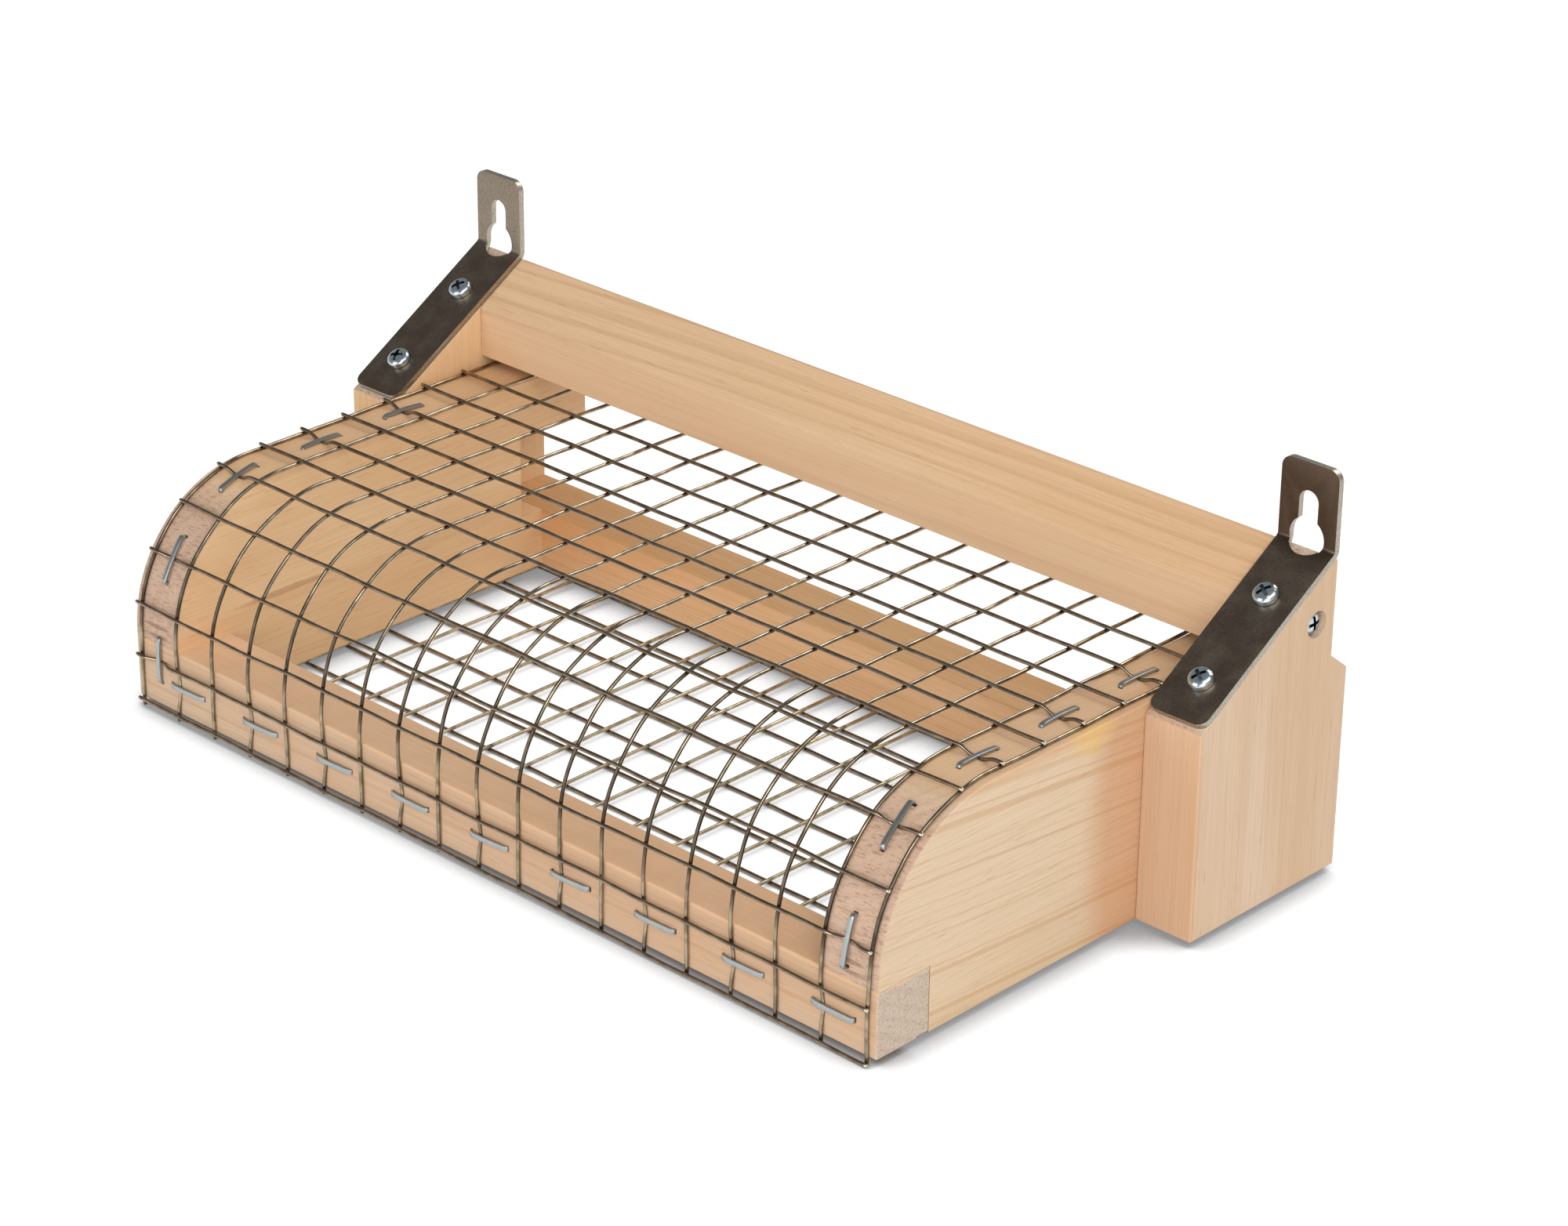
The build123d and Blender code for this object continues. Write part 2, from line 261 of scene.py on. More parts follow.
def marked(tree: Tree, mark: Mark, colour: Colour) -> Socket:
    """Lay a mark over a surface.

    Args:
        tree: the tree that takes the nodes.
        mark: the mark.
        colour: colour of the surface.

    Returns:
        The socket of the colour.
    """
    place = in_millimetres(tree)
    away = add(tree, "VectorMath", {0: place, 1: mark.centre}, operation="SUBTRACT").outputs["Vector"]
    shares = add(tree, "VectorMath", {0: away, 1: mark.reach}, operation="DIVIDE").outputs["Vector"]
    distance = add(tree, "VectorMath", {0: shares}, operation="LENGTH").outputs["Value"]
    uneven = mottled(tree, place, cell=(mark.notch,) * 3, detail=3.0)
    inputs = {0: uneven, 1: mark.ragged, 2: distance}
    edge = add(tree, "Math", inputs, operation="MULTIPLY_ADD").outputs["Value"]
    rim = 1 + mark.ragged / 2
    start, full = rim + mark.fade, rim - mark.fade
    return stained(tree, colour, mark.colour, edge, low=start, high=full, share=mark.strength)


@dataclass(frozen=True)
class PlanedPine:
    """White pine, planed and left bare.

    It gives the eye a pale peach skin with faint uneven growth lines, fine silky fibres and pinkish end
    grain, torn into short dark flecks. The fibres are drawn about three times too wide, because real ones
    would not show.
    """

    grain: Grain
    tone: Tone
    pith: Pair                      # middle of the tree, across the fibres
    tilt: Triple = (0.0, 0.0, 0.0)  # of the fibres against the board, in degrees
    ring: float = 3.2               # width of a year's growth
    ring_share: float = 0.3         # strength of the lines
    fleck: Pair = (0.6, 0.6)        # size of the flecks on the end grain, across the fibres
    fleck_depth: float = 0.8        # and along them
    end_pale: str = "#d9c2ad"
    end_dark: str = "#a9866c"
    pore: str = "#a87a50"
    marks: tuple[Mark, ...] = ()
    fibre_size: Triple = (45.0, 0.5, 0.5)       # this and the next four are given along the fibres first
    patch_size: Triple = (150.0, 22.0, 22.0)
    pore_size: Triple = (7.0, 0.4, 0.4)
    grit_size: Triple = (0.5, 0.35, 0.35)
    sway_size: Triple = (170.0, 40.0, 40.0)     # of the stretches over which the rings sway
    sway: float = 7.0               # how far the rings leave their circles
    pace: float = 0.45              # how often growth changes in a year
    lead: float = 1.4               # years by which it gets ahead
    line_height: float = 0.27       # of a dark line in the pattern of the rings
    relief: float = 0.1             # of the fibres
    line_relief: float = 0.5        # of a growth line, as a share of the fibres' relief
    torn_relief: float = -3.0       # of torn end grain, likewise
    roughness: float = 0.4          # of the smoothest fibre
    dulling: float = 0.3            # added on the roughest one

    def material(self, name: str) -> Material:
        """Make the material of one board.

        Args:
            name: the board's name.

        Returns:
            The material.
        """
        material, tree, shader = new_material(f"planed_pine_{name}")
        pale, warm, line, shade = self.tone.value
        local = in_millimetres(tree, self.grain.turn)
        lines = self._growth_lines(tree, local)
        fibre = mottled(tree, local, self.fibre_size, detail=2.0)
        patch = mottled(tree, local, self.patch_size, detail=2.0)
        pores = mottled(tree, local, self.pore_size, detail=1.0)
        colour = stained(tree, linear(pale), warm, patch, low=0.35, high=0.65, share=0.9)
        colour = stained(tree, colour, line, lines, low=0.62, high=0.9, share=self.ring_share)
        colour = stained(tree, colour, shade, fibre, low=0.4, high=0.7, share=0.35)
        colour = stained(tree, colour, self.pore, pores, low=0.64, high=0.76, share=0.3)
        colour, torn = self._end_grain(tree, local, lines, colour)
        for mark in self.marks:
            colour = marked(tree, mark, colour)
        inputs = {0: lines, 1: self.line_relief, 2: fibre}
        height = add(tree, "Math", inputs, operation="MULTIPLY_ADD").outputs["Value"]
        inputs = {0: torn, 1: self.torn_relief, 2: height}
        height = add(tree, "Math", inputs, operation="MULTIPLY_ADD").outputs["Value"]
        inputs = {"Height": height, "Strength": 0.2, "Distance": self.relief * MM}
        normal = add(tree, "Bump", inputs).outputs["Normal"]
        inputs = {0: fibre, 1: self.dulling, 2: self.roughness}
        gloss = add(tree, "Math", inputs, operation="MULTIPLY_ADD").outputs["Value"]
        feed(tree, shader, {"Base Color": colour, "Roughness": gloss, "Normal": normal})
        feed(tree, shader, {"Specular IOR Level": 0.3})
        return material

    def _growth_lines(self, tree: Tree, local: Socket) -> Socket:
        """Growth rings round the pith, uneven from year to year and cut by the board's faces.

        Args:
            tree: the material's tree.
            local: coordinates with their first axis along the fibres.

        Returns:
            The socket of the rings, highest on a dark line.
        """
        turn = tuple(math.radians(angle) for angle in self.tilt)
        inputs = {"Vector": local, "Location": (0.0, *self.pith), "Rotation": turn}
        pith = add(tree, "Mapping", inputs).outputs["Vector"]
        inputs = {0: local, 1: self.sway_size}
        cells = add(tree, "VectorMath", inputs, operation="DIVIDE").outputs["Vector"]
        drift = add(tree, "TexNoise", {"Vector": cells, "Scale": 1.0, "Detail": 1.0}).outputs["Color"]
        inputs = {0: drift, 1: (0.0, self.sway, self.sway), 2: pith}
        moved = add(tree, "VectorMath", inputs, operation="MULTIPLY_ADD").outputs["Vector"]
        flat = (0.0, 1 / self.ring, 1 / self.ring)
        years = add(tree, "VectorMath", {0: moved, 1: flat}, operation="MULTIPLY").outputs["Vector"]
        age = add(tree, "VectorMath", {0: years}, operation="LENGTH").outputs["Value"]
        inputs = {"W": age, "Scale": self.pace, "Detail": 2.0}
        uneven = add(tree, "TexNoise", inputs, noise_dimensions="1D").outputs["Fac"]
        inputs = {0: uneven, 1: self.lead, 2: age}
        late = add(tree, "Math", inputs, operation="MULTIPLY_ADD").outputs["Value"]
        phase = add(tree, "Math", {0: late, 1: 2 * math.pi}, operation="MULTIPLY").outputs["Value"]
        wave = add(tree, "Math", {0: phase}, operation="SINE").outputs["Value"]
        inputs = {0: wave, 1: self.line_height, 2: uneven}
        return add(tree, "Math", inputs, operation="MULTIPLY_ADD").outputs["Value"]

    def _end_grain(self, tree: Tree, local: Socket, lines: Socket, side: Socket) -> tuple[Socket, Socket]:
        """Lay the flecked end grain over the faces that cut across the fibres.

        Args:
            tree: the material's tree.
            local: coordinates with their first axis along the fibres.
            lines: the growth rings.
            side: colour of the faces along the fibres.

        Returns:
            The sockets of the colour and of how deeply the end grain is torn.
        """
        normal = add(tree, "NewGeometry").outputs["Normal"]
        inputs = {0: normal, 1: self.grain.axis}
        facing = add(tree, "VectorMath", inputs, operation="DOT_PRODUCT").outputs["Value"]
        square = add(tree, "Math", {0: facing}, operation="ABSOLUTE").outputs["Value"]
        inputs = {"Value": square, "From Min": 0.15, "From Max": 0.6}
        share = add(tree, "MapRange", inputs, interpolation_type="SMOOTHSTEP").outputs["Result"]
        flecks = mottled(tree, local, (self.fleck_depth, *self.fleck), detail=2.0)
        grit = mottled(tree, local, self.grit_size, detail=1.0)
        end = stained(tree, linear(self.end_pale), self.end_dark, lines, low=0.45, high=0.7, share=0.15)
        end = stained(tree, end, self.end_dark, grit, low=0.4, high=0.7, share=0.3)
        end = stained(tree, end, self.end_dark, flecks, low=0.5, high=0.72, share=0.75)
        inputs = {0: share, MIX_A: side, MIX_B: end}
        colour = add(tree, "Mix", inputs, data_type="RGBA").outputs[MIX_RESULT]
        return colour, add(tree, "Math", {0: flecks, 1: share}, operation="MULTIPLY").outputs["Value"]


@dataclass(frozen=True)
class SatinSteel:
    """Rolled steel strip with a dark satin finish, cut to length after it was finished.

    It gives the eye an even warm dark grey that mirrors softly, a fine grit, and bright cut edges.
    """

    body: str = "#796b5d"
    cloud: str = "#8b7f70"
    cloud_size: float = 5.0
    grit: str = "#4c423a"
    grit_size: float = 0.35
    relief: float = 0.03            # of the grit
    roughness: float = 0.3          # where a cloud is darkest
    dulling: float = 0.2            # added where it is palest
    cut: str = "#b6ae9f"
    marks: tuple[Mark, ...] = (     # painted reflection on the upright tabs: darker and browner on the right one, paler on the left one
        Mark((124.0, 59.0, 92.0), (16.0, 7.0, 17.0), "#5c4b3d", strength=0.9, fade=0.15, ragged=0.1),
        Mark((-124.0, 59.0, 92.0), (16.0, 7.0, 17.0), "#9b8f7f", strength=0.6, fade=0.15, ragged=0.1),
    )

    def material(self) -> Material:
        """Make the material of the brackets.

        Returns:
            The material.
        """
        material, tree, shader = new_material("satin_steel_strip")
        place = in_millimetres(tree)
        cloud = mottled(tree, place, cell=(self.cloud_size,) * 3, detail=3.0)
        grit = mottled(tree, place, cell=(self.grit_size,) * 3, detail=2.0)
        cut = add(tree, "Attribute", attribute_name=CUT).outputs["Fac"]
        colour = stained(tree, linear(self.body), self.cloud, cloud, low=0.35, high=0.7, share=0.8)
        for mark in self.marks:
            colour = marked(tree, mark, colour)
        colour = stained(tree, colour, self.cut, cut, low=0.0, high=1.0, share=1.0)
        colour = stained(tree, colour, self.grit, grit, low=0.48, high=0.72, share=0.5)
        inputs = {"Height": grit, "Strength": 0.15, "Distance": self.relief * MM}
        normal = add(tree, "Bump", inputs).outputs["Normal"]
        inputs = {0: cloud, 1: self.dulling, 2: self.roughness}
        gloss = add(tree, "Math", inputs, operation="MULTIPLY_ADD").outputs["Value"]
        feed(tree, shader, {"Base Color": colour, "Roughness": gloss, "Normal": normal, "Metallic": 1.0})
        return material


@dataclass(frozen=True)
class DrawnWire:
    """Drawn steel wire with a thin zinc skin, welded into mesh.

    It gives the eye a grey-brown thread with a sharp light line along it, a dark spot at each weld, burnt and
    with painted contact shade, and a pale tip where the shears cut it.
    """

    name: str
    body: str
    bright: str
    roughness: float
    # a weld's burn, with painted contact shade where the wires cross
    burnt_and_shaded: str = "#4b3225"
    cut: str = "#ded6c6"
    marks: tuple[Mark, ...] = ()
    cloud_size: float = 3.0
    dulling: float = 0.25           # added at a burnt weld

    def material(self) -> Material:
        """Make the material of the mesh.

        Returns:
            The material.
        """
        material, tree, shader = new_material(self.name)
        place = in_millimetres(tree)
        cloud = mottled(tree, place, cell=(self.cloud_size,) * 3, detail=3.0)
        weld = add(tree, "Attribute", attribute_name=WELD_AND_SHADE).outputs["Fac"]
        cut = add(tree, "Attribute", attribute_name=CUT).outputs["Fac"]
        colour = stained(tree, linear(self.body), self.bright, cloud, low=0.35, high=0.7, share=1.0)
        for mark in self.marks:
            colour = marked(tree, mark, colour)
        # burn and painted contact shade at the welds
        colour = stained(tree, colour, self.burnt_and_shaded, weld, low=0.1, high=0.9, share=0.9)
        colour = stained(tree, colour, self.cut, cut, low=0.0, high=1.0, share=0.9)
        inputs = {0: weld, 1: self.dulling, 2: self.roughness}
        gloss = add(tree, "Math", inputs, operation="MULTIPLY_ADD").outputs["Value"]
        feed(tree, shader, {"Base Color": colour, "Roughness": gloss, "Metallic": 1.0})
        return material


@dataclass(frozen=True)
class ZincPlate:
    """Zinc plate on small steel fixings.

    It gives the eye a cool grey-blue shine with faint straw and blue clouds from its passivation, and a
    darker slot, where shade is painted.
    """

    name: str
    body: str
    blue: str
    straw: str
    roughness: float                # on the mean
    # painted shade inside the slot
    slot: str = "#7a848b"
    cloud_size: float = 1.2
    film_size: float = 2.3
    dulling: float = 0.2            # from the smoothest spot to the roughest

    def material(self) -> Material:
        """Make the material of the fixings.

        Returns:
            The material.
        """
        material, tree, shader = new_material(self.name)
        place = in_millimetres(tree)
        cloud = mottled(tree, place, cell=(self.cloud_size,) * 3, detail=2.0)
        film = mottled(tree, place, cell=(self.film_size,) * 3, detail=1.0)
        recess_shade = add(tree, "Attribute", attribute_name=RECESS_SHADE).outputs["Fac"]
        colour = stained(tree, linear(self.body), self.blue, cloud, low=0.45, high=0.7, share=0.6)
        colour = stained(tree, colour, self.straw, film, low=0.5, high=0.7, share=0.5)
        # painted shade in the slot
        colour = stained(tree, colour, self.slot, recess_shade, low=0.0, high=1.0, share=0.85)
        inputs = {0: cloud, 1: self.dulling, 2: self.roughness - self.dulling / 2}
        gloss = add(tree, "Math", inputs, operation="MULTIPLY_ADD").outputs["Value"]
        feed(tree, shader, {"Base Color": colour, "Roughness": gloss, "Metallic": 1.0})
        return material


@dataclass(frozen=True)
class Section:
    """One place along a bent rod, with the two directions of its section.

    Across, out and the way on along the rod stand to each other as X, Y and Z do, so faces point outwards.
    """

    place: Vector
    across: Vector
    out: Vector
    girth: float = 1.0
    weld: float = 0.0
    cut: float = 0.0


Path = Callable[[float], Section]


def break_edges(mesh: Mesh, edges: Sequence[Edge], width: float, segments: int) -> None:
    """Round off sharp edges.

    Args:
        mesh: the mesh, changed in place.
        edges: the edges.
        width: how far the rounding reaches on each side of an edge.
        segments: how many faces it is made of.
    """
    bmesh.ops.bevel(
        mesh, geom=edges, offset=width, offset_type="OFFSET", segments=segments, profile=0.5,
        affect="EDGES", material=-1, clamp_overlap=True,
    )


def long_edges(blank: Mesh, length: float) -> list[Edge]:
    """The edges that run along a straight blank of this length."""
    return [edge for edge in blank.edges if edge.calc_length() > length / 2]


def straight_rod(length: float, diameter: float, step: float, sides: int = 10) -> Mesh:
    """Draw a straight round rod up Z from the origin, cut off square with slightly broken edges.

    Args:
        length: its length.
        diameter: its diameter.
        step: about how far apart its rings are.
        sides: how many faces go round it.

    Returns:
        The rod.
    """
    rod = bmesh.new()
    middle = Matrix.Translation((0, 0, length / 2))
    radius = diameter / 2
    bmesh.ops.create_cone(
        rod, cap_ends=True, segments=sides, radius1=radius, radius2=radius, depth=length, matrix=middle
    )
    runs = long_edges(rod, length)
    rims = [edge for edge in rod.edges if edge not in runs]
    bmesh.ops.subdivide_edges(rod, edges=runs, cuts=round(length / step))
    break_edges(rod, rims, width=diameter / 5, segments=2)
    return rod


def bend(rod: Mesh, path: Path) -> Mesh:
    """Lay a straight rod, drawn up Z, along a path.

    Args:
        rod: the rod, changed in place.
        path: the section at each length along it.

    Returns:
        The same rod.
    """
    weld = rod.verts.layers.float.new(WELD_AND_SHADE)
    cut = rod.verts.layers.float.new(CUT)
    known: dict[float, Section] = {}
    for vert in rod.verts:
        travel = round(vert.co.z, 5)
        if travel not in known:
            known[travel] = path(travel)
        section = known[travel]
        spread = section.across * vert.co.x + section.out * vert.co.y
        vert.co = section.place + spread * section.girth
        vert[weld] = section.weld
        vert[cut] = section.cut
    return rod


def baked(name: str, mesh: Mesh) -> bpy.types.Mesh:
    """Turn a mesh into data that an object can hold.

    Args:
        name: the data's name.
        mesh: the mesh, freed here.

    Returns:
        The data.
    """
    data = bpy.data.meshes.new(name)
    mesh.to_mesh(data)
    mesh.free()
    return data


def placed(name: str, data: bpy.types.ID) -> bpy.types.Object:
    """Put a new object into the scene.

    Args:
        name: its name.
        data: its mesh data, lamp or camera.

    Returns:
        The object.
    """
    made = bpy.data.objects.new(name, data)
    bpy.context.scene.collection.objects.link(made)
    return made


def gathered(parts: Iterable[Mesh]) -> Mesh:
    """Put several meshes into one.

    Args:
        parts: the meshes, freed here.

    Returns:
        The mesh that holds them all.
    """
    whole = bmesh.new()
    for part in parts:
        carrier = baked("carrier", part)
        whole.from_mesh(carrier)
        bpy.data.meshes.remove(carrier)
    return whole


def show(name: str, mesh: Mesh, material: Material, slot: str, *nodes: str) -> None:
    """Make a shown piece of a mesh that is in millimetres, in place of CAD nodes.

    Args:
        name: the piece's name.
        mesh: its mesh, freed here.
        material: its material.
        slot: the slot that its finish belongs to; not used.
        nodes: the CAD nodes that it stands for.
    """
    bmesh.ops.scale(mesh, vec=(MM, MM, MM), verts=mesh.verts)
    data = baked(name, mesh)
    data.shade_smooth()
    data.set_sharp_from_angle(angle=math.radians(SMOOTH_BELOW))
    data.materials.append(material)
    piece = placed(name, data)
    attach(piece, BODY)
    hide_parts(*nodes)
    log.info("piece %s: %d faces", name, len(data.polygons))


def node_box(node: str) -> tuple[Vector, Vector]:
    """The lowest and highest corner of a CAD node, in millimetres."""
    low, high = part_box(node)
    return Vector(low) / MM, Vector(high) / MM


def evenly(first: float, last: float, pitch: float) -> list[float]:
    """Places from first to last, spaced evenly and about one pitch apart."""
    gaps = round((last - first) / pitch)
    return [first + (last - first) * index / gaps for index in range(gaps + 1)]


@dataclass(frozen=True)
class Wear:
    """What bending and welding left on a wire."""

    sway: float                     # about how far it leaves its line
    waves: tuple[float, ...]        # the lengths of its waves
    burn_and_shade: Pair                      # how dark its palest and its darkest weld are, as burn and painted contact shade
    weld: float                     # how far a weld reaches along it


class Wander:
    """The small unevenness of a hand-bent wire, as a smooth wave of its length."""

    def __init__(self, chance: Random, wear: Wear) -> None:
        """Choose the waves.

        Args:
            chance: the random numbers to draw from.
            wear: how far the wire sways, and in which waves.
        """
        self.reach = wear.sway / len(wear.waves)
        self.waves = [(2 * math.pi / wave, chance.uniform(0, 2 * math.pi)) for wave in wear.waves]

    def __call__(self, travel: float) -> float:
        """How far the wire is off its line at a length along it."""
        return self.reach * sum(math.sin(travel * pace + phase) for pace, phase in self.waves)


class Welds:
    """The welds along one wire, each darkened to its own degree by burn and painted contact shade."""

    def __init__(self, chance: Random, wear: Wear, places: Sequence[float]) -> None:
        """Choose how burnt each weld is.

        Args:
            chance: the random numbers to draw from.
            wear: how burnt and how wide the welds are.
            places: where the welds are along the wire.
        """
        self.width = wear.weld
        self.spots = [(place, chance.uniform(*wear.burn_and_shade)) for place in places]

    def __call__(self, travel: float) -> float:
        """How strongly the wire's skin shows a weld at a length along it."""
        return max(burn_and_shade * math.exp(-(((travel - place) / self.width) ** 2)) for place, burn_and_shade in self.spots)


@dataclass
class WoodFrame:
    """The seven boards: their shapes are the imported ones, and they get their wood here."""

    bruise: str = "#6b4632"
    bruise_heights: Pair = (19.2, 21.6)     # of the dark lines across the foot of the noses
    bruise_reach: Triple = (3.5, 3.0, 0.5)

    def _bruises(self, node: str) -> tuple[Mark, ...]:
        """Dark lines where a cheek's nose was pressed against the rail.

        Args:
            node: the cheek.

        Returns:
            The marks.
        """
        low, high = node_box(node)
        middle = (low.x + high.x) / 2
        return tuple(
            Mark((middle, low.y, height), self.bruise_reach, self.bruise, strength=0.5, fade=0.5, ragged=1.2)
            for height in self.bruise_heights
        )

    def boards(self) -> dict[str, PlanedPine]:
        """The wood of each board, by node.

        Returns:
            The wood.
        """
        face = node_box("right_cheek")[1].x
        inside = node_box("left_cheek")[1].x
        resin = Mark((face, 0.0, 51.6), (3.0, 6.0, 4.0), "#ecc06e", strength=0.5, fade=0.6)
        # darker and more orange on the right cheek's outer face, next to the post
        near_post_tint = Mark((face, 20.0, 26.0), (6.0, 18.5, 70.0), "#c3773e", strength=0.42, fade=0.3, ragged=0.12)
        upper = Mark((0.0, -10.0, 56.5), (WIDE, 95.0, 5.5), "#d8ab80", strength=0.6, fade=0.2, ragged=0.3)
        # painted light: the front rail's top made paler where the hood shades it
        rail_top_painted_light = Mark((0.0, -56.0, 20.0), (WIDE, 60.0, 3.4), "#f4c598", strength=0.4, fade=0.15, ragged=0.2)
        # painted shade: the right post's front face made darker and more orange
        post_front_painted_shade = Mark((face, 16.0, 25.0), (40.0, 1.5, 90.0), "#d29d72", strength=0.35, fade=0.2, ragged=0.2)
        # painted shade: the rear rail's top made darker
        rear_top_painted_shade = Mark((0.0, 58.0, 20.0), (WIDE, 60.0, 3.4), "#b88d57", strength=0.45, fade=0.15, ragged=0.2)
        lip = Mark((0.0, 46.0, 59.0), (WIDE, 10.0, 9.0), "#f4d9bb", strength=0.2, fade=0.2, ragged=0.2)
        streak = Mark((inside, -31.6, 22.7), (3.0, 14.0, 0.8), "#b07a4a", strength=0.5)
        left, right = self._bruises("left_cheek"), self._bruises("right_cheek")
        nose = {"fleck": (2.2, 0.35), "end_pale": "#d0b199", "end_dark": "#a67f66"}
        grey = {"fleck": (0.45, 0.45), "end_pale": "#cebdab", "end_dark": "#a48b76"}
        return {
            "left_cheek": PlanedPine(
                Grain.BACK, Tone.STRAW, pith=(60.0, 30.0), tilt=(0, 1.0, 0), ring_share=0.15,
                marks=(*left, upper, streak), **nose,
            ),
            "right_cheek": PlanedPine(
                Grain.BACK, Tone.SAPWOOD, pith=(90.0, -75.0), tilt=(0, -4.5, 0), ring=2.1, ring_share=0.42,
                marks=(*right, near_post_tint, upper, resin), **nose,
            ),
            "front_rail": PlanedPine(
                Grain.ACROSS, Tone.DUSTY, pith=(80.0, 55.0), marks=(rail_top_painted_light,), **grey
            ),
            "rear_rail": PlanedPine(
                Grain.ACROSS, Tone.HONEY, pith=(-50.0, 70.0), tilt=(0, 0, 0.8), marks=(rear_top_painted_shade,), **grey
            ),
            "left_post": PlanedPine(
                Grain.UPRIGHT, Tone.STRAW, pith=(35.0, 95.0), tilt=(0, 0, 1.0), ring_share=0.2
            ),
            "right_post": PlanedPine(
                Grain.UPRIGHT, Tone.BLUSH, pith=(65.0, -120.0), tilt=(0, 0, -0.8), ring_share=0.12,
                marks=(post_front_painted_shade,),
            ),
            "lintel": PlanedPine(
                Grain.ACROSS, Tone.PEACH, pith=(-30.0, -20.0), tilt=(0, 1.6, 1.2), ring=4.2, ring_share=0.36,
                marks=(lip,),
            ),
        }

    def dress(self) -> None:
        """Give each board its wood."""
        for name, wood in self.boards().items():
            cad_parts[name].material_slots[0].material = wood.material(name)
            log.info("board %s", name)


@dataclass
class HoodForm:
    """The surface of wood that the hood is bent over, read from the cheeks."""

    wire: float = WIRE
    nose_radius: float = 34.0

    def __post_init__(self) -> None:
        """Read the wood's places."""
        cheek_low, cheek_high = node_box("right_cheek")
        self.front = cheek_low.y
        self.top = cheek_high.z
        self.foot = node_box("front_rail")[0].z
        self.nose_start = self.top - self.nose_radius - self.foot
        self.wire_radius = self.nose_radius + self.wire / 2
        self.nose_end = self.nose_start + self.wire_radius * QUARTER

    def travel_to(self, y: float) -> float:
        """Length along a lengthwise wire to a place on the flat top."""
        return self.nose_end + y - self.front - self.nose_radius

    def at(self, travel: float, x: float, height: float) -> tuple[Vector, Vector, Vector]:
        """A place over the wood.

        Args:
            travel: length along a lengthwise wire, from the underside of the wood.
            x: place across the guard.
            height: how far out from the wood.

        Returns:
            The place, the direction out of the wood and the direction along the wire.
        """
        turn = min(max((travel - self.nose_start) / self.wire_radius, 0), QUARTER)
        below = min(travel - self.nose_start, 0)
        past = max(travel - self.nose_end, 0)
        out = Vector((0, -math.cos(turn), math.sin(turn)))
        along = Vector((0, math.sin(turn), math.cos(turn)))
        centre = Vector((x, self.front + self.nose_radius + past, self.foot + self.nose_start + below))
        return centre + out * (self.nose_radius + height), out, along


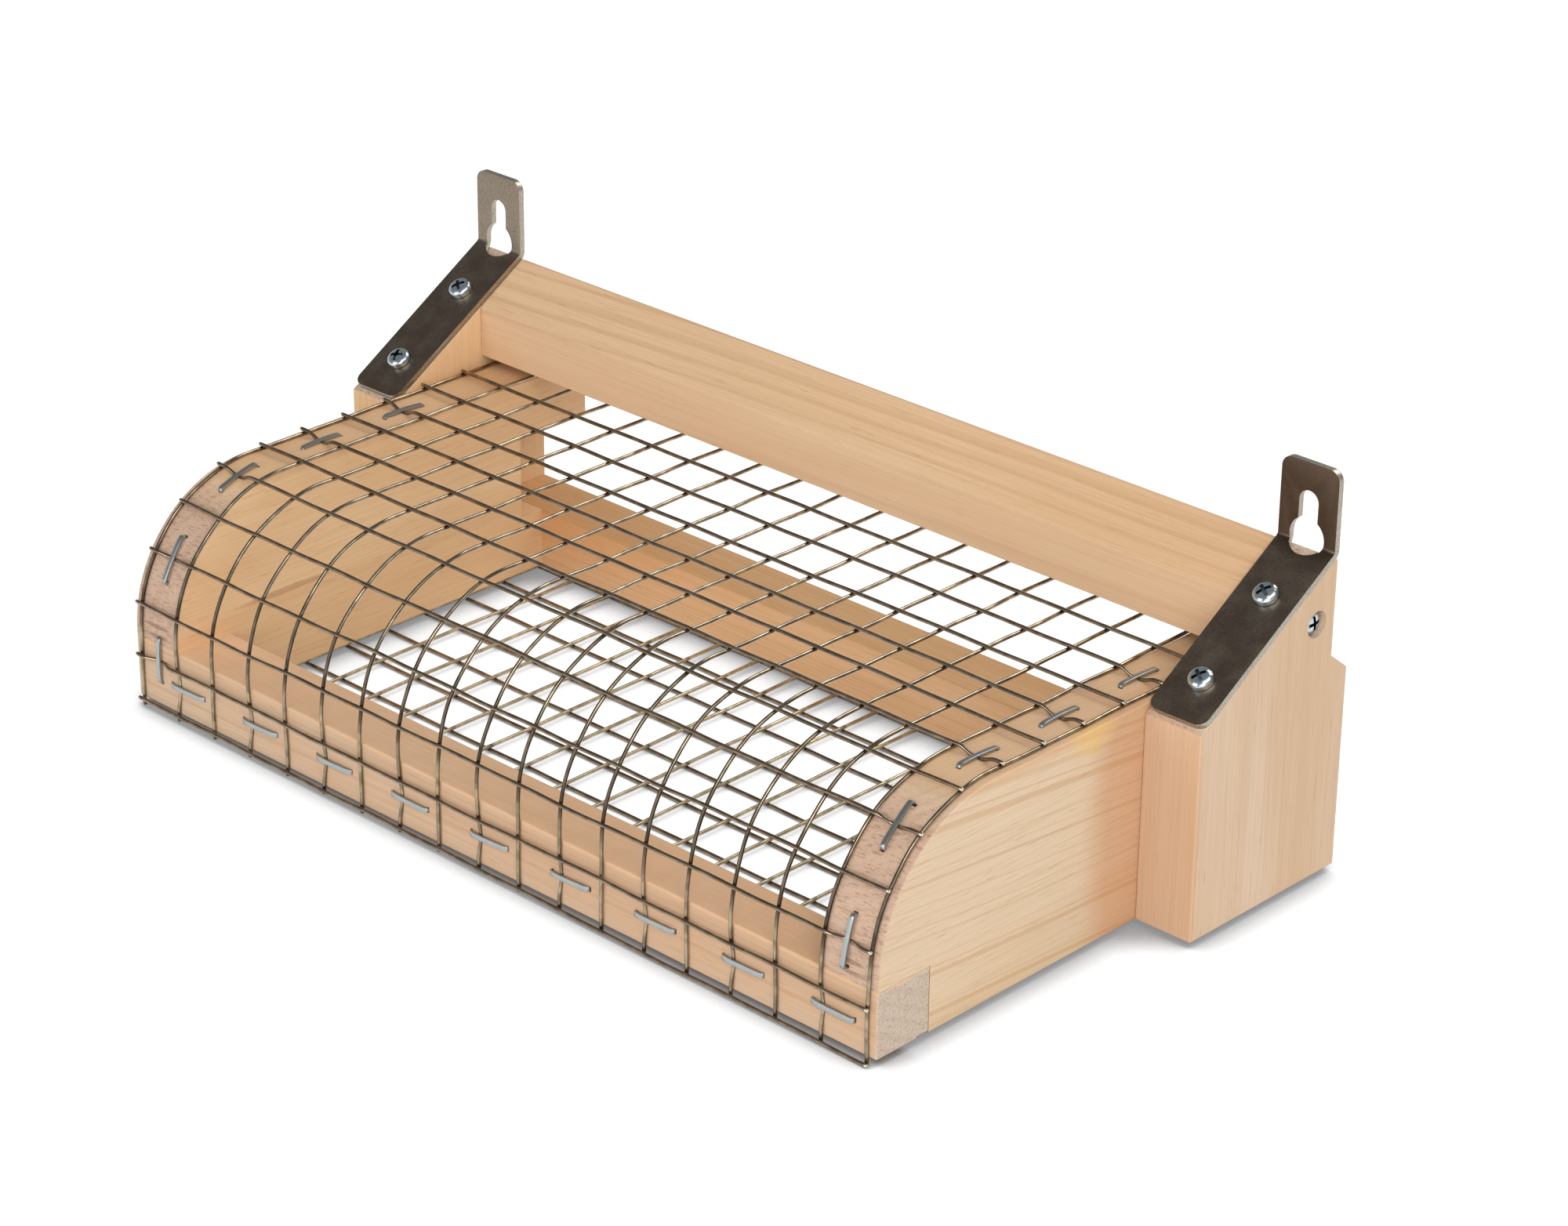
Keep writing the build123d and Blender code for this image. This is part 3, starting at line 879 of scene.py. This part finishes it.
@dataclass
class WireHood:
    """The bent wire hood: lengthwise wires over the noses, with crosswise wires welded on top."""

    form: HoodForm
    bright: Material
    dull: Material
    pitch: float = PITCH
    first_row: float = 11.6         # above the underside of the wood
    hem_sag: float = 0.65           # of the hem at its right end, and its rise at the left
    staple_height: float = 7.0      # of the front staples, above the underside of the wood
    step: float = 0.8               # between the rings of a wire
    press: float = 0.45             # how deep a staple presses a wire into the wood
    dip_reach: float = 5.0          # of a crosswise wire's bend down to the wood, under a staple
    kink: float = 0.5               # sideways, of a lengthwise wire under a front staple
    kink_reach: float = 3.5
    free_rows: int = 2              # the last crosswise wires have no staple
    trim: Pair = (0.3, 0.8)         # how far short of the longest tip the shears cut
    bare: float = 0.5               # length of a tip that the shears left bright
    swell: float = 0.12             # of a crosswise wire at a burnt weld, as a share of its girth
    bent_wear: Wear = Wear(sway=0.3, waves=(21.0, 34.0, 73.0), burn_and_shade=(0.5, 1.0), weld=0.9)
    cross_wear: Wear = Wear(sway=0.25, waves=(26.0, 57.0, 110.0), burn_and_shade=(0.1, 0.45), weld=0.7)
    seed: int = 11

    def __post_init__(self) -> None:
        """Read the layout of the mesh."""
        low, high = node_box("hood_lengthwise_wires")
        radius = self.form.wire / 2
        edge = high.x - radius
        self.columns = evenly(-edge, edge, self.pitch)
        self.start = low.z - self.form.foot
        self.end = self.form.travel_to(high.y)
        hem, last = node_box("hood_crosswise_wires")
        self.tip = last.x
        hem_height = hem.z + radius - self.form.foot
        self.rows = [hem_height, *evenly(self.first_row, self.form.travel_to(last.y - radius), self.pitch)]
        self.staple_x = (self.columns[-1] + self.columns[-2]) / 2

    def side_of_row(self, index: int) -> int:
        """The cheek that a row is stapled to.

        Args:
            index: which row, from the hem.

        Returns:
            -1 for the left cheek, 1 for the right one and 0 for neither.
        """
        if index == 0 or index >= len(self.rows) - self.free_rows:
            return 0
        return -1 if index % 2 else 1

    def build(self) -> None:
        """Make the two layers of wire."""
        chance = Random(self.seed)
        along = gathered(self._lengthwise(index, chance) for index in range(len(self.columns)))
        show("hood_wires_bent", along, self.bright, "mesh_wire", "hood_lengthwise_wires")
        across = gathered(self._crosswise(index, chance) for index in range(len(self.rows)))
        show("hood_wires_across", across, self.dull, "mesh_wire", "hood_crosswise_wires")

    def _lengthwise(self, index: int, chance: Random) -> Mesh:
        """Bend one lengthwise wire. Every second one is stapled to the front rail.

        Args:
            index: which wire, from the left.
            chance: the random numbers to draw from.

        Returns:
            The wire.
        """
        column = self.columns[index]
        sway = Wander(chance, self.bent_wear)
        welds = Welds(chance, self.bent_wear, self.rows)
        stapled = index % 2

        def path(travel: float) -> Section:
            """The wire's section at a length from its foot.

            Args:
                travel: the length.

            Returns:
                The section.
            """
            length = travel + self.start
            pinch = math.exp(-(((length - self.staple_height) / self.kink_reach) ** 2))
            x = column + sway(length) + stapled * self.kink * pinch
            place, out, _ = self.form.at(length, x, self.form.wire / 2 - stapled * self.press * pinch)
            return Section(place, -RIGHT, out, weld=welds(length))

        return bend(straight_rod(self.end - self.start, self.form.wire, self.step), path)

    def _crosswise(self, index: int, chance: Random) -> Mesh:
        """Lay one crosswise wire, pulled down to the wood where a staple holds it.

        Args:
            index: which wire, from the hem.
            chance: the random numbers to draw from.

        Returns:
            The wire.
        """
        row = self.rows[index]
        sway = Wander(chance, self.cross_wear)
        welds = Welds(chance, self.cross_wear, self.columns)
        side = self.side_of_row(index)
        sag = 0.0 if index else self.hem_sag / self.tip
        wire = self.form.wire
        level = 1.5 * wire          # of its middle, on top of the lengthwise wires
        shears = Random(self.seed + index)
        left = self.tip - shears.uniform(*self.trim)
        right = self.tip - shears.uniform(*self.trim)

        def path(travel: float) -> Section:
            """The wire's section at a length from its left tip.

            Args:
                travel: the length.

            Returns:
                The section.
            """
            x = travel - left
            away = min(abs(x - side * self.staple_x) / self.dip_reach, 1.0) if side else 1.0
            drop = (wire + self.press) * (0.5 + 0.5 * math.cos(math.pi * away))
            place, out, along = self.form.at(row + sway(x) - sag * x, x, level - drop)
            weld = welds(x)
            cut = math.exp(-((min(x + left, right - x) / self.bare) ** 2))
            return Section(place, along, out, 1.0 + self.swell * weld, weld, cut)

        return bend(straight_rod(left + right, wire, self.step), path)


@dataclass
class WireFloor:
    """The flat wire floor: lengthwise wires with crosswise wires welded under them."""

    # of the lengthwise wires: the same wire as the crosswise ones, painted paler as light
    straw: Material
    dull: Material
    pitch: float = PITCH
    wire: float = WIRE
    step: float = 0.9               # between the rings of a wire
    wear: Wear = Wear(sway=0.2, waves=(31.0, 47.0, 90.0), burn_and_shade=(0.3, 0.9), weld=0.8)
    seed: int = 23

    def build(self) -> None:
        """Make the two layers of wire."""
        chance = Random(self.seed)
        low, high = node_box("floor_lengthwise_wires")
        row_low, row_high = node_box("floor_crosswise_wires")
        radius = self.wire / 2
        columns = evenly(low.x + radius, high.x - radius, self.pitch)
        rows = evenly(row_low.y + radius, row_high.y - radius, self.pitch)
        starts = (Vector((x, low.y, low.z + radius)) for x in columns)
        welds = [y - low.y for y in rows]
        along = gathered(self._wire(start, BACK, high.y - low.y, welds, chance) for start in starts)
        show("floor_wires_back", along, self.straw, "mesh_wire", "floor_lengthwise_wires")
        starts = (Vector((row_low.x, y, row_low.z + radius)) for y in rows)
        welds = [x - row_low.x for x in columns]
        across = gathered(self._wire(start, RIGHT, row_high.x - row_low.x, welds, chance) for start in starts)
        show("floor_wires_across", across, self.dull, "mesh_wire", "floor_crosswise_wires")

    def _wire(
        self, start: Vector, along: Vector, length: float, crossings: Sequence[float], chance: Random
    ) -> Mesh:
        """Lay one flat wire.

        Args:
            start: its first end.
            along: its direction.
            length: its length.
            crossings: where the other wires cross it, from its start.
            chance: the random numbers to draw from.

        Returns:
            The wire.
        """
        aside = UP.cross(along)
        sway = Wander(chance, self.wear)
        welds = Welds(chance, self.wear, crossings)

        def path(travel: float) -> Section:
            """The wire's section at a length from its start."""
            place = start + along * travel + aside * sway(travel)
            return Section(place, aside, UP, weld=welds(travel))

        return bend(straight_rod(length, self.wire, self.step), path)


@dataclass(frozen=True)
class Grip:
    """What a staple holds: where, how high it stands and how far it is from the middle of the crown."""

    place: Vector                   # middle of the crown, on the wood
    along: Vector
    out: Vector
    height: float                   # of the crown's underside over what it holds
    ends: float                     # of the crown's underside at its two ends
    peak: float = 0.0               # along the crown, where it is highest
    tilt: float = 1.5               # degrees, either way


@dataclass
class Staples:
    """Staples of flat wire, driven by hand, so that no two lie quite alike."""

    hood: WireHood
    material: Material
    crown: float = 12.0
    width: float = 1.2
    thickness: float = 0.6
    leg: float = 8.0
    inner_bend: float = 0.3
    front_shift: float = 3.2        # of a front staple, right of the wire that it holds
    sunk: float = 0.25              # height of the ends of a crown that is driven home
    drift: float = 0.35             # along the crown, either way
    cheek_tilt: float = 4.0         # degrees, either way
    floor_count: int = 4            # in each of the floor's rows
    cuts: int = 90                  # along a staple's wire, so that it bends smoothly
    seed: int = 5

    def build(self) -> None:
        """Make the staples of the hood and of the floor."""
        chance = Random(self.seed)
        hood, form = self.hood, self.hood.form
        held = form.wire - hood.press
        front = []
        for column in hood.columns[1::2]:
            place, out, _ = form.at(hood.staple_height, column + self.front_shift, 0)
            front.append(self._staple(Grip(place, RIGHT, out, held, self.sunk, -self.front_shift), chance))
        show("front_staple_row", gathered(front), self.material, "staple_zinc", "front_staples")
        for side, name in ((-1, "left"), (1, "right")):
            row = []
            for index, travel in enumerate(hood.rows):
                if hood.side_of_row(index) == side:
                    place, out, along = form.at(travel, side * hood.staple_x, 0)
                    grip = Grip(place, along, out, held, self.sunk, tilt=self.cheek_tilt)
                    row.append(self._staple(grip, chance))
            show(f"{name}_staple_row", gathered(row), self.material, "staple_zinc", f"{name}_cheek_staples")
        for name in ("front_floor_staples", "rear_floor_staples"):
            low, high = node_box(name)
            middle = (low + high) / 2
            half = self.crown / 2
            pitch = (high.x - low.x - self.crown) / (self.floor_count - 1)
            places = evenly(low.x + half, high.x - half, pitch)
            wood = high.z - self.leg
            height = wood - low.z - self.thickness
            grips = (Grip(Vector((x, middle.y, wood)), RIGHT, -UP, height, height) for x in places)
            row = [self._staple(grip, chance) for grip in grips]
            show(f"{name}_row", gathered(row), self.material, "staple_zinc", name)

    def _staple(self, grip: Grip, chance: Random) -> Mesh:
        """Bend and drive one staple.

        Args:
            grip: what it holds.
            chance: the random numbers to draw from.

        Returns:
            The staple.
        """
        lean = math.radians(chance.uniform(-grip.tilt, grip.tilt))
        out = grip.out
        along = Matrix.Rotation(lean, 3, out) @ grip.along
        across = out.cross(along)
        place = grip.place + along * chance.uniform(-self.drift, self.drift)
        radius = self.inner_bend + self.thickness / 2
        straight = self.crown / 2 - self.thickness / 2 - radius
        arc = radius * QUARTER
        drop = self.leg + grip.ends + self.thickness / 2 - radius
        half = straight + arc + drop

        def path(travel: float) -> Section:
            """The staple's section at a length from the tip of one leg.

            Args:
                travel: the length.

            Returns:
                The section.
            """
            signed = travel - half
            side = math.copysign(1.0, signed)
            length = abs(signed)
            turned = min(max((length - straight) / radius, 0), QUARTER)
            down = max(length - straight - arc, 0)
            reach = side * (min(length, straight) + radius * math.sin(turned))
            span = straight - grip.peak if reach > grip.peak else straight + grip.peak
            hump = max(1 - ((reach - grip.peak) / span) ** 2, 0)
            rise = grip.ends + (grip.height - grip.ends) * hump + self.thickness / 2
            rise -= radius * (1 - math.cos(turned)) + down
            face = along * (side * math.sin(turned)) + out * math.cos(turned)
            return Section(place + along * reach + out * rise, across, face)

        return bend(self._blank(2 * half), path)

    def _blank(self, length: float) -> Mesh:
        """Cut the flat wire of one staple, up Z from the origin.

        Args:
            length: its length.

        Returns:
            The wire.
        """
        blank = bmesh.new()
        size = Matrix.Diagonal((self.width, self.thickness, length, 1))
        bmesh.ops.create_cube(blank, size=1, matrix=Matrix.Translation((0, 0, length / 2)) @ size)
        break_edges(blank, long_edges(blank, length), width=self.thickness / 4, segments=2)
        bmesh.ops.subdivide_edges(blank, edges=long_edges(blank, length), cuts=self.cuts)
        return blank


@dataclass
class Brackets:
    """The bent steel strips, with their edges broken and their cut faces left bright."""

    material: Material
    slope: float = 31.4             # of the lower leg, in degrees
    slack: float = 5.0              # degrees by which a broad face may lean past the tab or the leg
    edgewise: float = 0.3           # share of a face's normal along X, from which it is a cut face
    rounding: float = 0.25
    sharp: float = 30.0             # degrees between faces, past which an edge counts as one
    flat: float = 1.0               # degrees between faces, below which they are joined
    merge: float = 0.002            # distance below which two corners are one

    def build(self) -> None:
        """Make both brackets."""
        for side in ("left", "right"):
            node = f"{side}_bracket"
            show(f"{side}_strip", self._softened(node), self.material, "bracket_steel", node)

    def _is_rolled(self, normal: Vector) -> bool:
        """Whether a face with this normal is one of the strip's two broad faces.

        Args:
            normal: the face's normal.

        Returns:
            True for the flat of the strip, its bend included.
        """
        for facing in (normal, -normal):
            rise = math.degrees(math.atan2(facing.z, -facing.y))
            if abs(normal.x) < self.edgewise and -self.slack < rise < 90 - self.slope + self.slack:
                return True
        return False

    def _softened(self, node: str) -> Mesh:
        """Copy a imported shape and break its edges.

        Args:
            node: the CAD node.

        Returns:
            The copy, in millimetres.
        """
        copy = bmesh.new()
        copy.from_mesh(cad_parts[node].data)
        bmesh.ops.scale(copy, vec=(1 / MM, 1 / MM, 1 / MM), verts=copy.verts)
        bmesh.ops.remove_doubles(copy, verts=copy.verts, dist=self.merge)
        limit = math.radians(self.flat)
        bmesh.ops.dissolve_limit(copy, angle_limit=limit, verts=copy.verts, edges=copy.edges)
        cut = copy.faces.layers.float.new(CUT)
        sharp = [edge for edge in copy.edges if edge.calc_face_angle(0.0) > math.radians(self.sharp)]
        break_edges(copy, sharp, self.rounding, segments=3)
        copy.normal_update()
        for face in copy.faces:
            face[cut] = 0.0 if self._is_rolled(face.normal) else 1.0
        return copy


@dataclass
class Screws:
    """Domed screws with a cross slot and a coarse thread, three at each end of the guard."""

    material: Material
    slope: float                    # of the brackets' lower leg, in degrees
    head: float = 5.8
    rim: float = 0.9                # height of the head's edge
    broken: float = 0.12            # of the head's lower edge
    dome: float = 1.4               # from the rim to the top of the head
    collar: float = 0.8             # share of the head round the slot that is made with it
    dome_rings: tuple[float, ...] = (0.88, 0.94, 0.98, 1.0)     # from there to the edge, likewise
    slot_cells: int = 5             # of the grid that the slot is cut in, each way
    slot_span: float = 3.4
    slot_width: float = 0.8
    slot_depth: float = 1.3
    slot_taper: float = 0.8         # size of the slot at its floor
    shank: float = 2.8
    point: float = 3.0
    blunt: float = 0.02             # radius of the point's end
    lead: float = 1.2               # of the thread
    ridge: float = 0.35             # height of the thread
    buried: float = 0.05            # depth of the thread's foot in the shank
    turn_steps: int = 12            # in one turn of the thread
    bracket_length: float = 8.0
    lintel_length: float = 32.0
    seed: int = 3

    def build(self) -> None:
        """Make the six screws."""
        chance = Random(self.seed)
        slope = math.radians(self.slope)
        square = Vector((0, -math.sin(slope), math.cos(slope)))
        for side, sign in (("left", -1), ("right", 1)):
            for place in ("lower", "upper"):
                self._drive(f"{side}_bracket_{place}_screw", square, self.bracket_length, chance)
            self._drive(f"{side}_lintel_screw", RIGHT * sign, self.lintel_length, chance)

    def _drive(self, node: str, axis: Vector, length: float, chance: Random) -> None:
        """Make one screw and put it in its place.

        Args:
            node: the CAD node that it stands for.
            axis: the direction out of its head.
            length: its length under the head.
            chance: the random numbers to draw from.
        """
        low, high = node_box(node)
        ends = ((a, b) if c >= 0 else (b, a) for a, b, c in zip(low, high, axis))
        tip = Vector((near if abs(c) > HAIR else (near + far) / 2) for (near, far), c in zip(ends, axis))
        seat = Matrix.Translation(tip + axis * length)
        turn = axis.to_track_quat("Z", "Y").to_matrix().to_4x4()
        spun = Matrix.Rotation(chance.uniform(0, QUARTER), 4, "Z")
        screw = self._head()
        self._shank(screw, length)
        parts = (screw, self._thread(length))
        for part in parts:
            bmesh.ops.recalc_face_normals(part, faces=part.faces)
        whole = gathered(parts)
        bmesh.ops.transform(whole, matrix=seat @ turn @ spun, verts=whole.verts)
        show(f"{node}_driven", whole, self.material, "screw_zinc", node)

    def _crown(self, radius: float) -> float:
        """Height of the dome at a distance from the axis."""
        return self.rim + self.dome * math.sqrt(max(1 - (2 * radius / self.head) ** 2, 0))

    def _head(self) -> Mesh:
        """Make the dome with its cross slot, open at the edge of the dome.

        Returns:
            The upper side of the head.
        """
        mesh = bmesh.new()
        recess_shade = mesh.faces.layers.float.new(RECESS_SHADE)
        cells = self.slot_cells
        bmesh.ops.create_grid(mesh, x_segments=cells, y_segments=cells, size=cells / 2)
        half, arm, collar = self.slot_span / 2, self.slot_width / 2, self.collar * self.head / 2
        lines = (arm, half, collar)
        for vert in mesh.verts:
            vert.co.xy = [math.copysign(lines[int(abs(c))], c) for c in vert.co.xy]
        middles = {face: sorted(abs(c) for c in face.calc_center_median().xy) for face in mesh.faces}
        cross = [face for face, (near, far) in middles.items() if near < arm and far < half]
        pushed = bmesh.ops.extrude_face_region(mesh, geom=cross)["geom"]
        bmesh.ops.delete(mesh, geom=cross, context="FACES")
        depth = self.rim + self.dome - self.slot_depth
        for vert in (v for v in pushed if isinstance(v, Vert)):
            vert.co = (vert.co.x * self.slot_taper, vert.co.y * self.slot_taper, depth)
        skin = [edge for edge in mesh.edges if max(vert.co.z for vert in edge.verts) < depth / 2]
        bmesh.ops.subdivide_edges(mesh, edges=skin, cuts=1, use_grid_fill=True)
        corner = math.hypot(half, arm)
        for vert in (v for v in mesh.verts if v.co.z < depth / 2):
            reach = max(abs(c) for c in vert.co.xy)
            limit = collar if reach > collar - HAIR else min(vert.co.xy.length, corner + max(reach - half, 0))
            flat = vert.co.xy.normalized() * limit
            vert.co = (flat.x, flat.y, self._crown(limit))
        # the faces inside the slot get painted shade
        for face in mesh.faces:
            face[recess_shade] = float(min(vert.co.z for vert in face.verts) < depth + HAIR)
        return mesh

    def _shank(self, mesh: Mesh, length: float) -> None:
        """Carry the edge of the dome down over the rim and along the shank to the point.

        Args:
            mesh: the upper side of the head, changed in place.
            length: the screw's length under the head.
        """
        edge, bore = self.head / 2, self.shank / 2
        outline = [(share * edge, self._crown(share * edge)) for share in self.dome_rings]
        outline += [(edge, self.broken), (edge - self.broken, 0.0), (bore, 0.0)]
        outline += [(bore, self.point - length), (bore / 2, self.point / 3 - length), (self.blunt, -length)]
        for radius, height in outline:
            rim = [e for e in mesh.edges if e.is_boundary]
            grown = bmesh.ops.extrude_edge_only(mesh, edges=rim)["geom"]
            for vert in (v for v in grown if isinstance(v, Vert)):
                flat = vert.co.xy.normalized() * radius
                vert.co = (flat.x, flat.y, height)
        rim = [e for e in mesh.edges if e.is_boundary]
        bmesh.ops.holes_fill(mesh, edges=rim, sides=len(rim))

    def _thread(self, length: float) -> Mesh:
        """Wind the thread round the shank.

        Args:
            length: the screw's length under the head.

        Returns:
            The thread, as a closed ridge.
        """
        mesh = bmesh.new()
        start = self.point - length
        turns = (length - self.point - self.lead) / self.lead
        steps = round(turns * self.turn_steps)
        bore = self.shank / 2
        root = bore - self.buried
        foot = self.lead / 4
        corners = ((root, start - foot), (bore + self.ridge, start), (root, start + foot))
        verts = [mesh.verts.new((radius, 0, height)) for radius, height in corners]
        edges = [mesh.edges.new(pair) for pair in zip(verts, verts[1:] + verts[:1])]
        climb = turns * self.lead / steps
        bmesh.ops.spin(
            mesh, geom=[*verts, *edges], cent=(0, 0, 0), axis=(0, 0, 1), dvec=(0, 0, climb),
            angle=2 * math.pi * turns, steps=steps, use_merge=False,
        )
        bmesh.ops.holes_fill(mesh, edges=[e for e in mesh.edges if e.is_boundary], sides=len(corners))
        return mesh


@dataclass(frozen=True)
class Lamp:
    """A soft square lamp, aimed at the guard."""

    name: str
    azimuth: float                  # in degrees, as is its elevation
    elevation: float
    distance: float
    size: float
    power: float                    # in watts


@dataclass
class Studio:
    """A pale floor, a soft room, the lamps and the camera."""

    azimuth: float = 43.484         # of the camera, in degrees, as are its elevation and roll
    elevation: float = 25.488
    roll: float = 0.559
    distance: float = 929.41
    aim: Triple = (37.68, -9.1, 55.79)
    focal_share: float = 2.77118    # focal length over the picture's width
    sensor: float = 36.0
    floor_size: float = 12000.0
    floor_share: float = 0.8        # how much of the floor's look is its own white
    floor_white: float = 1.2        # strength of that white
    floor_paper: str = "#f0f0f0"    # what the lamps light
    floor_shade: str = "#868789"
    contact: float = 13.0           # how far the shade under the guard's edges reaches
    deep_shade: Mark = Mark(        # under the front rail
        (0.0, -59.0, 0.0), (WIDE, 4.0, 4.0), "#453c35", strength=0.85, ragged=0.0
    )
    horizon: float = 0.5            # strength of the room's light there
    overhead: float = 0.25          # and high up
    dimming: Pair = (0.12, 0.4)     # from which height to which it dims, as sines
    lamps: tuple[Lamp, ...] = (
        Lamp("key", 52.0, 42.0, 1300.0, 600.0, 4.6),
        Lamp("back", 172.0, 45.0, 1300.0, 700.0, 6.0),
        Lamp("side", 90.0, 48.0, 1300.0, 700.0, 2.8),
        Lamp("low_left", -15.0, 15.0, 1300.0, 600.0, 4.2),
        Lamp("low_right", 40.0, 12.0, 1300.0, 800.0, 5.2),
    )

    def build(self) -> None:
        """Set the stage."""
        self._floor()
        self._room()
        for lamp in self.lamps:
            self._lamp(lamp)
        self._camera()
        bpy.context.scene.view_settings.view_transform = "Standard"

    @staticmethod
    def _back(azimuth: float, elevation: float) -> Vector:
        """Direction from the guard towards a viewer or a lamp, from angles in degrees."""
        a, e = math.radians(azimuth), math.radians(elevation)
        return Vector((math.sin(a) * math.cos(e), -math.cos(a) * math.cos(e), math.sin(e)))

    def _floor(self) -> None:
        """Lay a pale floor that shows white to the eye and keeps the shadow."""
        mesh = bmesh.new()
        bmesh.ops.create_grid(mesh, x_segments=1, y_segments=1, size=self.floor_size * MM / 2)
        data = baked("studio_floor", mesh)
        material, tree, shader = new_material("pale_paper_floor")
        tree.nodes.remove(shader)
        seen = self._seen(tree)
        lit = add(tree, "BsdfDiffuse", {"Color": linear(self.floor_paper)}).outputs["BSDF"]
        clear = add(tree, "AmbientOcclusion", {"Distance": self.contact * MM}, samples=8).outputs["AO"]
        shade = marked(tree, self.deep_shade, linear(self.floor_shade))
        white = stained(tree, shade, WHITE, clear, low=0.35, high=0.85, share=1.0)
        glow = add(tree, "Emission", {"Color": white, "Strength": self.floor_white}).outputs["Emission"]
        share = add(tree, "Math", {0: seen, 1: self.floor_share}, operation="MULTIPLY").outputs["Value"]
        both = add(tree, "MixShader", {0: share, 1: lit, 2: glow}).outputs["Shader"]
        feed(tree, tree.nodes["Material Output"], {"Surface": both})
        data.materials.append(material)
        floor = placed("studio_floor", data)
        floor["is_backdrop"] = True

    @staticmethod
    def _seen(tree: Tree) -> Socket:
        """Whether a ray comes from the eye, straight or by way of a mirror or a glass.

        Args:
            tree: the tree that takes the nodes.

        Returns:
            The socket, 1 for such a ray.
        """
        rays = add(tree, "LightPath").outputs
        mirrored = {0: rays["Is Camera Ray"], 1: rays["Is Glossy Ray"]}
        first = add(tree, "Math", mirrored, operation="MAXIMUM").outputs["Value"]
        second = {0: first, 1: rays["Is Transmission Ray"]}
        return add(tree, "Math", second, operation="MAXIMUM").outputs["Value"]

    def _room(self) -> None:
        """Surround the stage with a soft room, white round the horizon and dimmer overhead."""
        world = bpy.data.worlds.new("soft_room")
        world.use_nodes = True
        tree = world.node_tree
        direction = add(tree, "TexCoord").outputs["Generated"]
        height = add(tree, "SeparateXYZ", {"Vector": direction}).outputs["Z"]
        low, high = self.dimming
        inputs = {"Value": height, "From Min": low, "From Max": high}
        inputs |= {"To Min": self.horizon, "To Max": self.overhead}
        strength = add(tree, "MapRange", inputs, interpolation_type="SMOOTHSTEP").outputs["Result"]
        feed(tree, tree.nodes["Background"], {"Color": linear(WHITE), "Strength": strength})
        bpy.context.scene.world = world

    def _lamp(self, lamp: Lamp) -> None:
        """Hang one lamp.

        Args:
            lamp: where it hangs and how strong it is.
        """
        data = bpy.data.lights.new(lamp.name, "AREA")
        data.shape = "SQUARE"
        data.size = lamp.size * MM
        data.energy = lamp.power
        back = self._back(lamp.azimuth, lamp.elevation)
        light = placed(lamp.name, data)
        light.location = (Vector(self.aim) + back * lamp.distance) * MM
        light.rotation_euler = back.to_track_quat("Z", "Y").to_euler()

    def _camera(self) -> None:
        """Set up the camera at the angle of the photograph."""
        back = self._back(self.azimuth, self.elevation)
        data = bpy.data.cameras.new("camera")
        data.sensor_fit = "HORIZONTAL"
        data.sensor_width = self.sensor
        data.lens = self.focal_share * self.sensor
        camera = placed("camera", data)
        level = back.to_track_quat("Z", "Y").to_matrix()
        turned = level @ Matrix.Rotation(math.radians(self.roll), 3, "Z")
        place = Matrix.Translation((Vector(self.aim) + back * self.distance) * MM)
        camera.matrix_world = place @ turned.to_4x4()
        bpy.context.scene.camera = camera


def keep_sizes() -> None:
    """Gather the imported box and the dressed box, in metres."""
    boxes = {"cad": CAD_BOX, "visual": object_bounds()}
    {name: [list(corner) for corner in box] for name, box in boxes.items()}


def main() -> None:
    """Dress the boards, make the metal pieces and set the stage."""
    logging.basicConfig(level=logging.INFO, format="%(message)s")
    # painted shade: the lengthwise wires darker low on the noses
    low_nose_painted_shade = Mark((0.0, -62.0, 31.0), (WIDE, 14.0, 9.0), "#382f27", strength=0.85, ragged=0.2)
    bright = DrawnWire("drawn_wire_bright", "#857967", "#b3a58c", 0.09, marks=(low_nose_painted_shade,)).material()
    dull = DrawnWire("drawn_wire_dull", "#837361", "#a5947d", 0.16).material()
    # painted light: the floor's lengthwise wires paler than its crosswise wires of the same stock
    straw = DrawnWire("drawn_wire_painted_pale", "#aca188", "#cfc5a8", 0.35, burnt_and_shaded="#6b5640").material()
    staple_zinc = ZincPlate("zinc_plated_staple", "#a9b0b2", "#9fb0ba", "#b9b8a8", 0.34).material()
    screw_zinc = ZincPlate("zinc_plated_screw", "#c3d0d8", "#9fbfe6", "#ddd8b8", 0.2).material()
    WoodFrame().dress()
    hood = WireHood(HoodForm(), bright, dull)
    hood.build()
    WireFloor(straw, dull).build()
    Staples(hood, staple_zinc).build()
    brackets = Brackets(SatinSteel().material())
    brackets.build()
    Screws(screw_zinc, brackets.slope).build()
    Studio().build()
    keep_sizes()


if __name__ == "__main__":
    main()
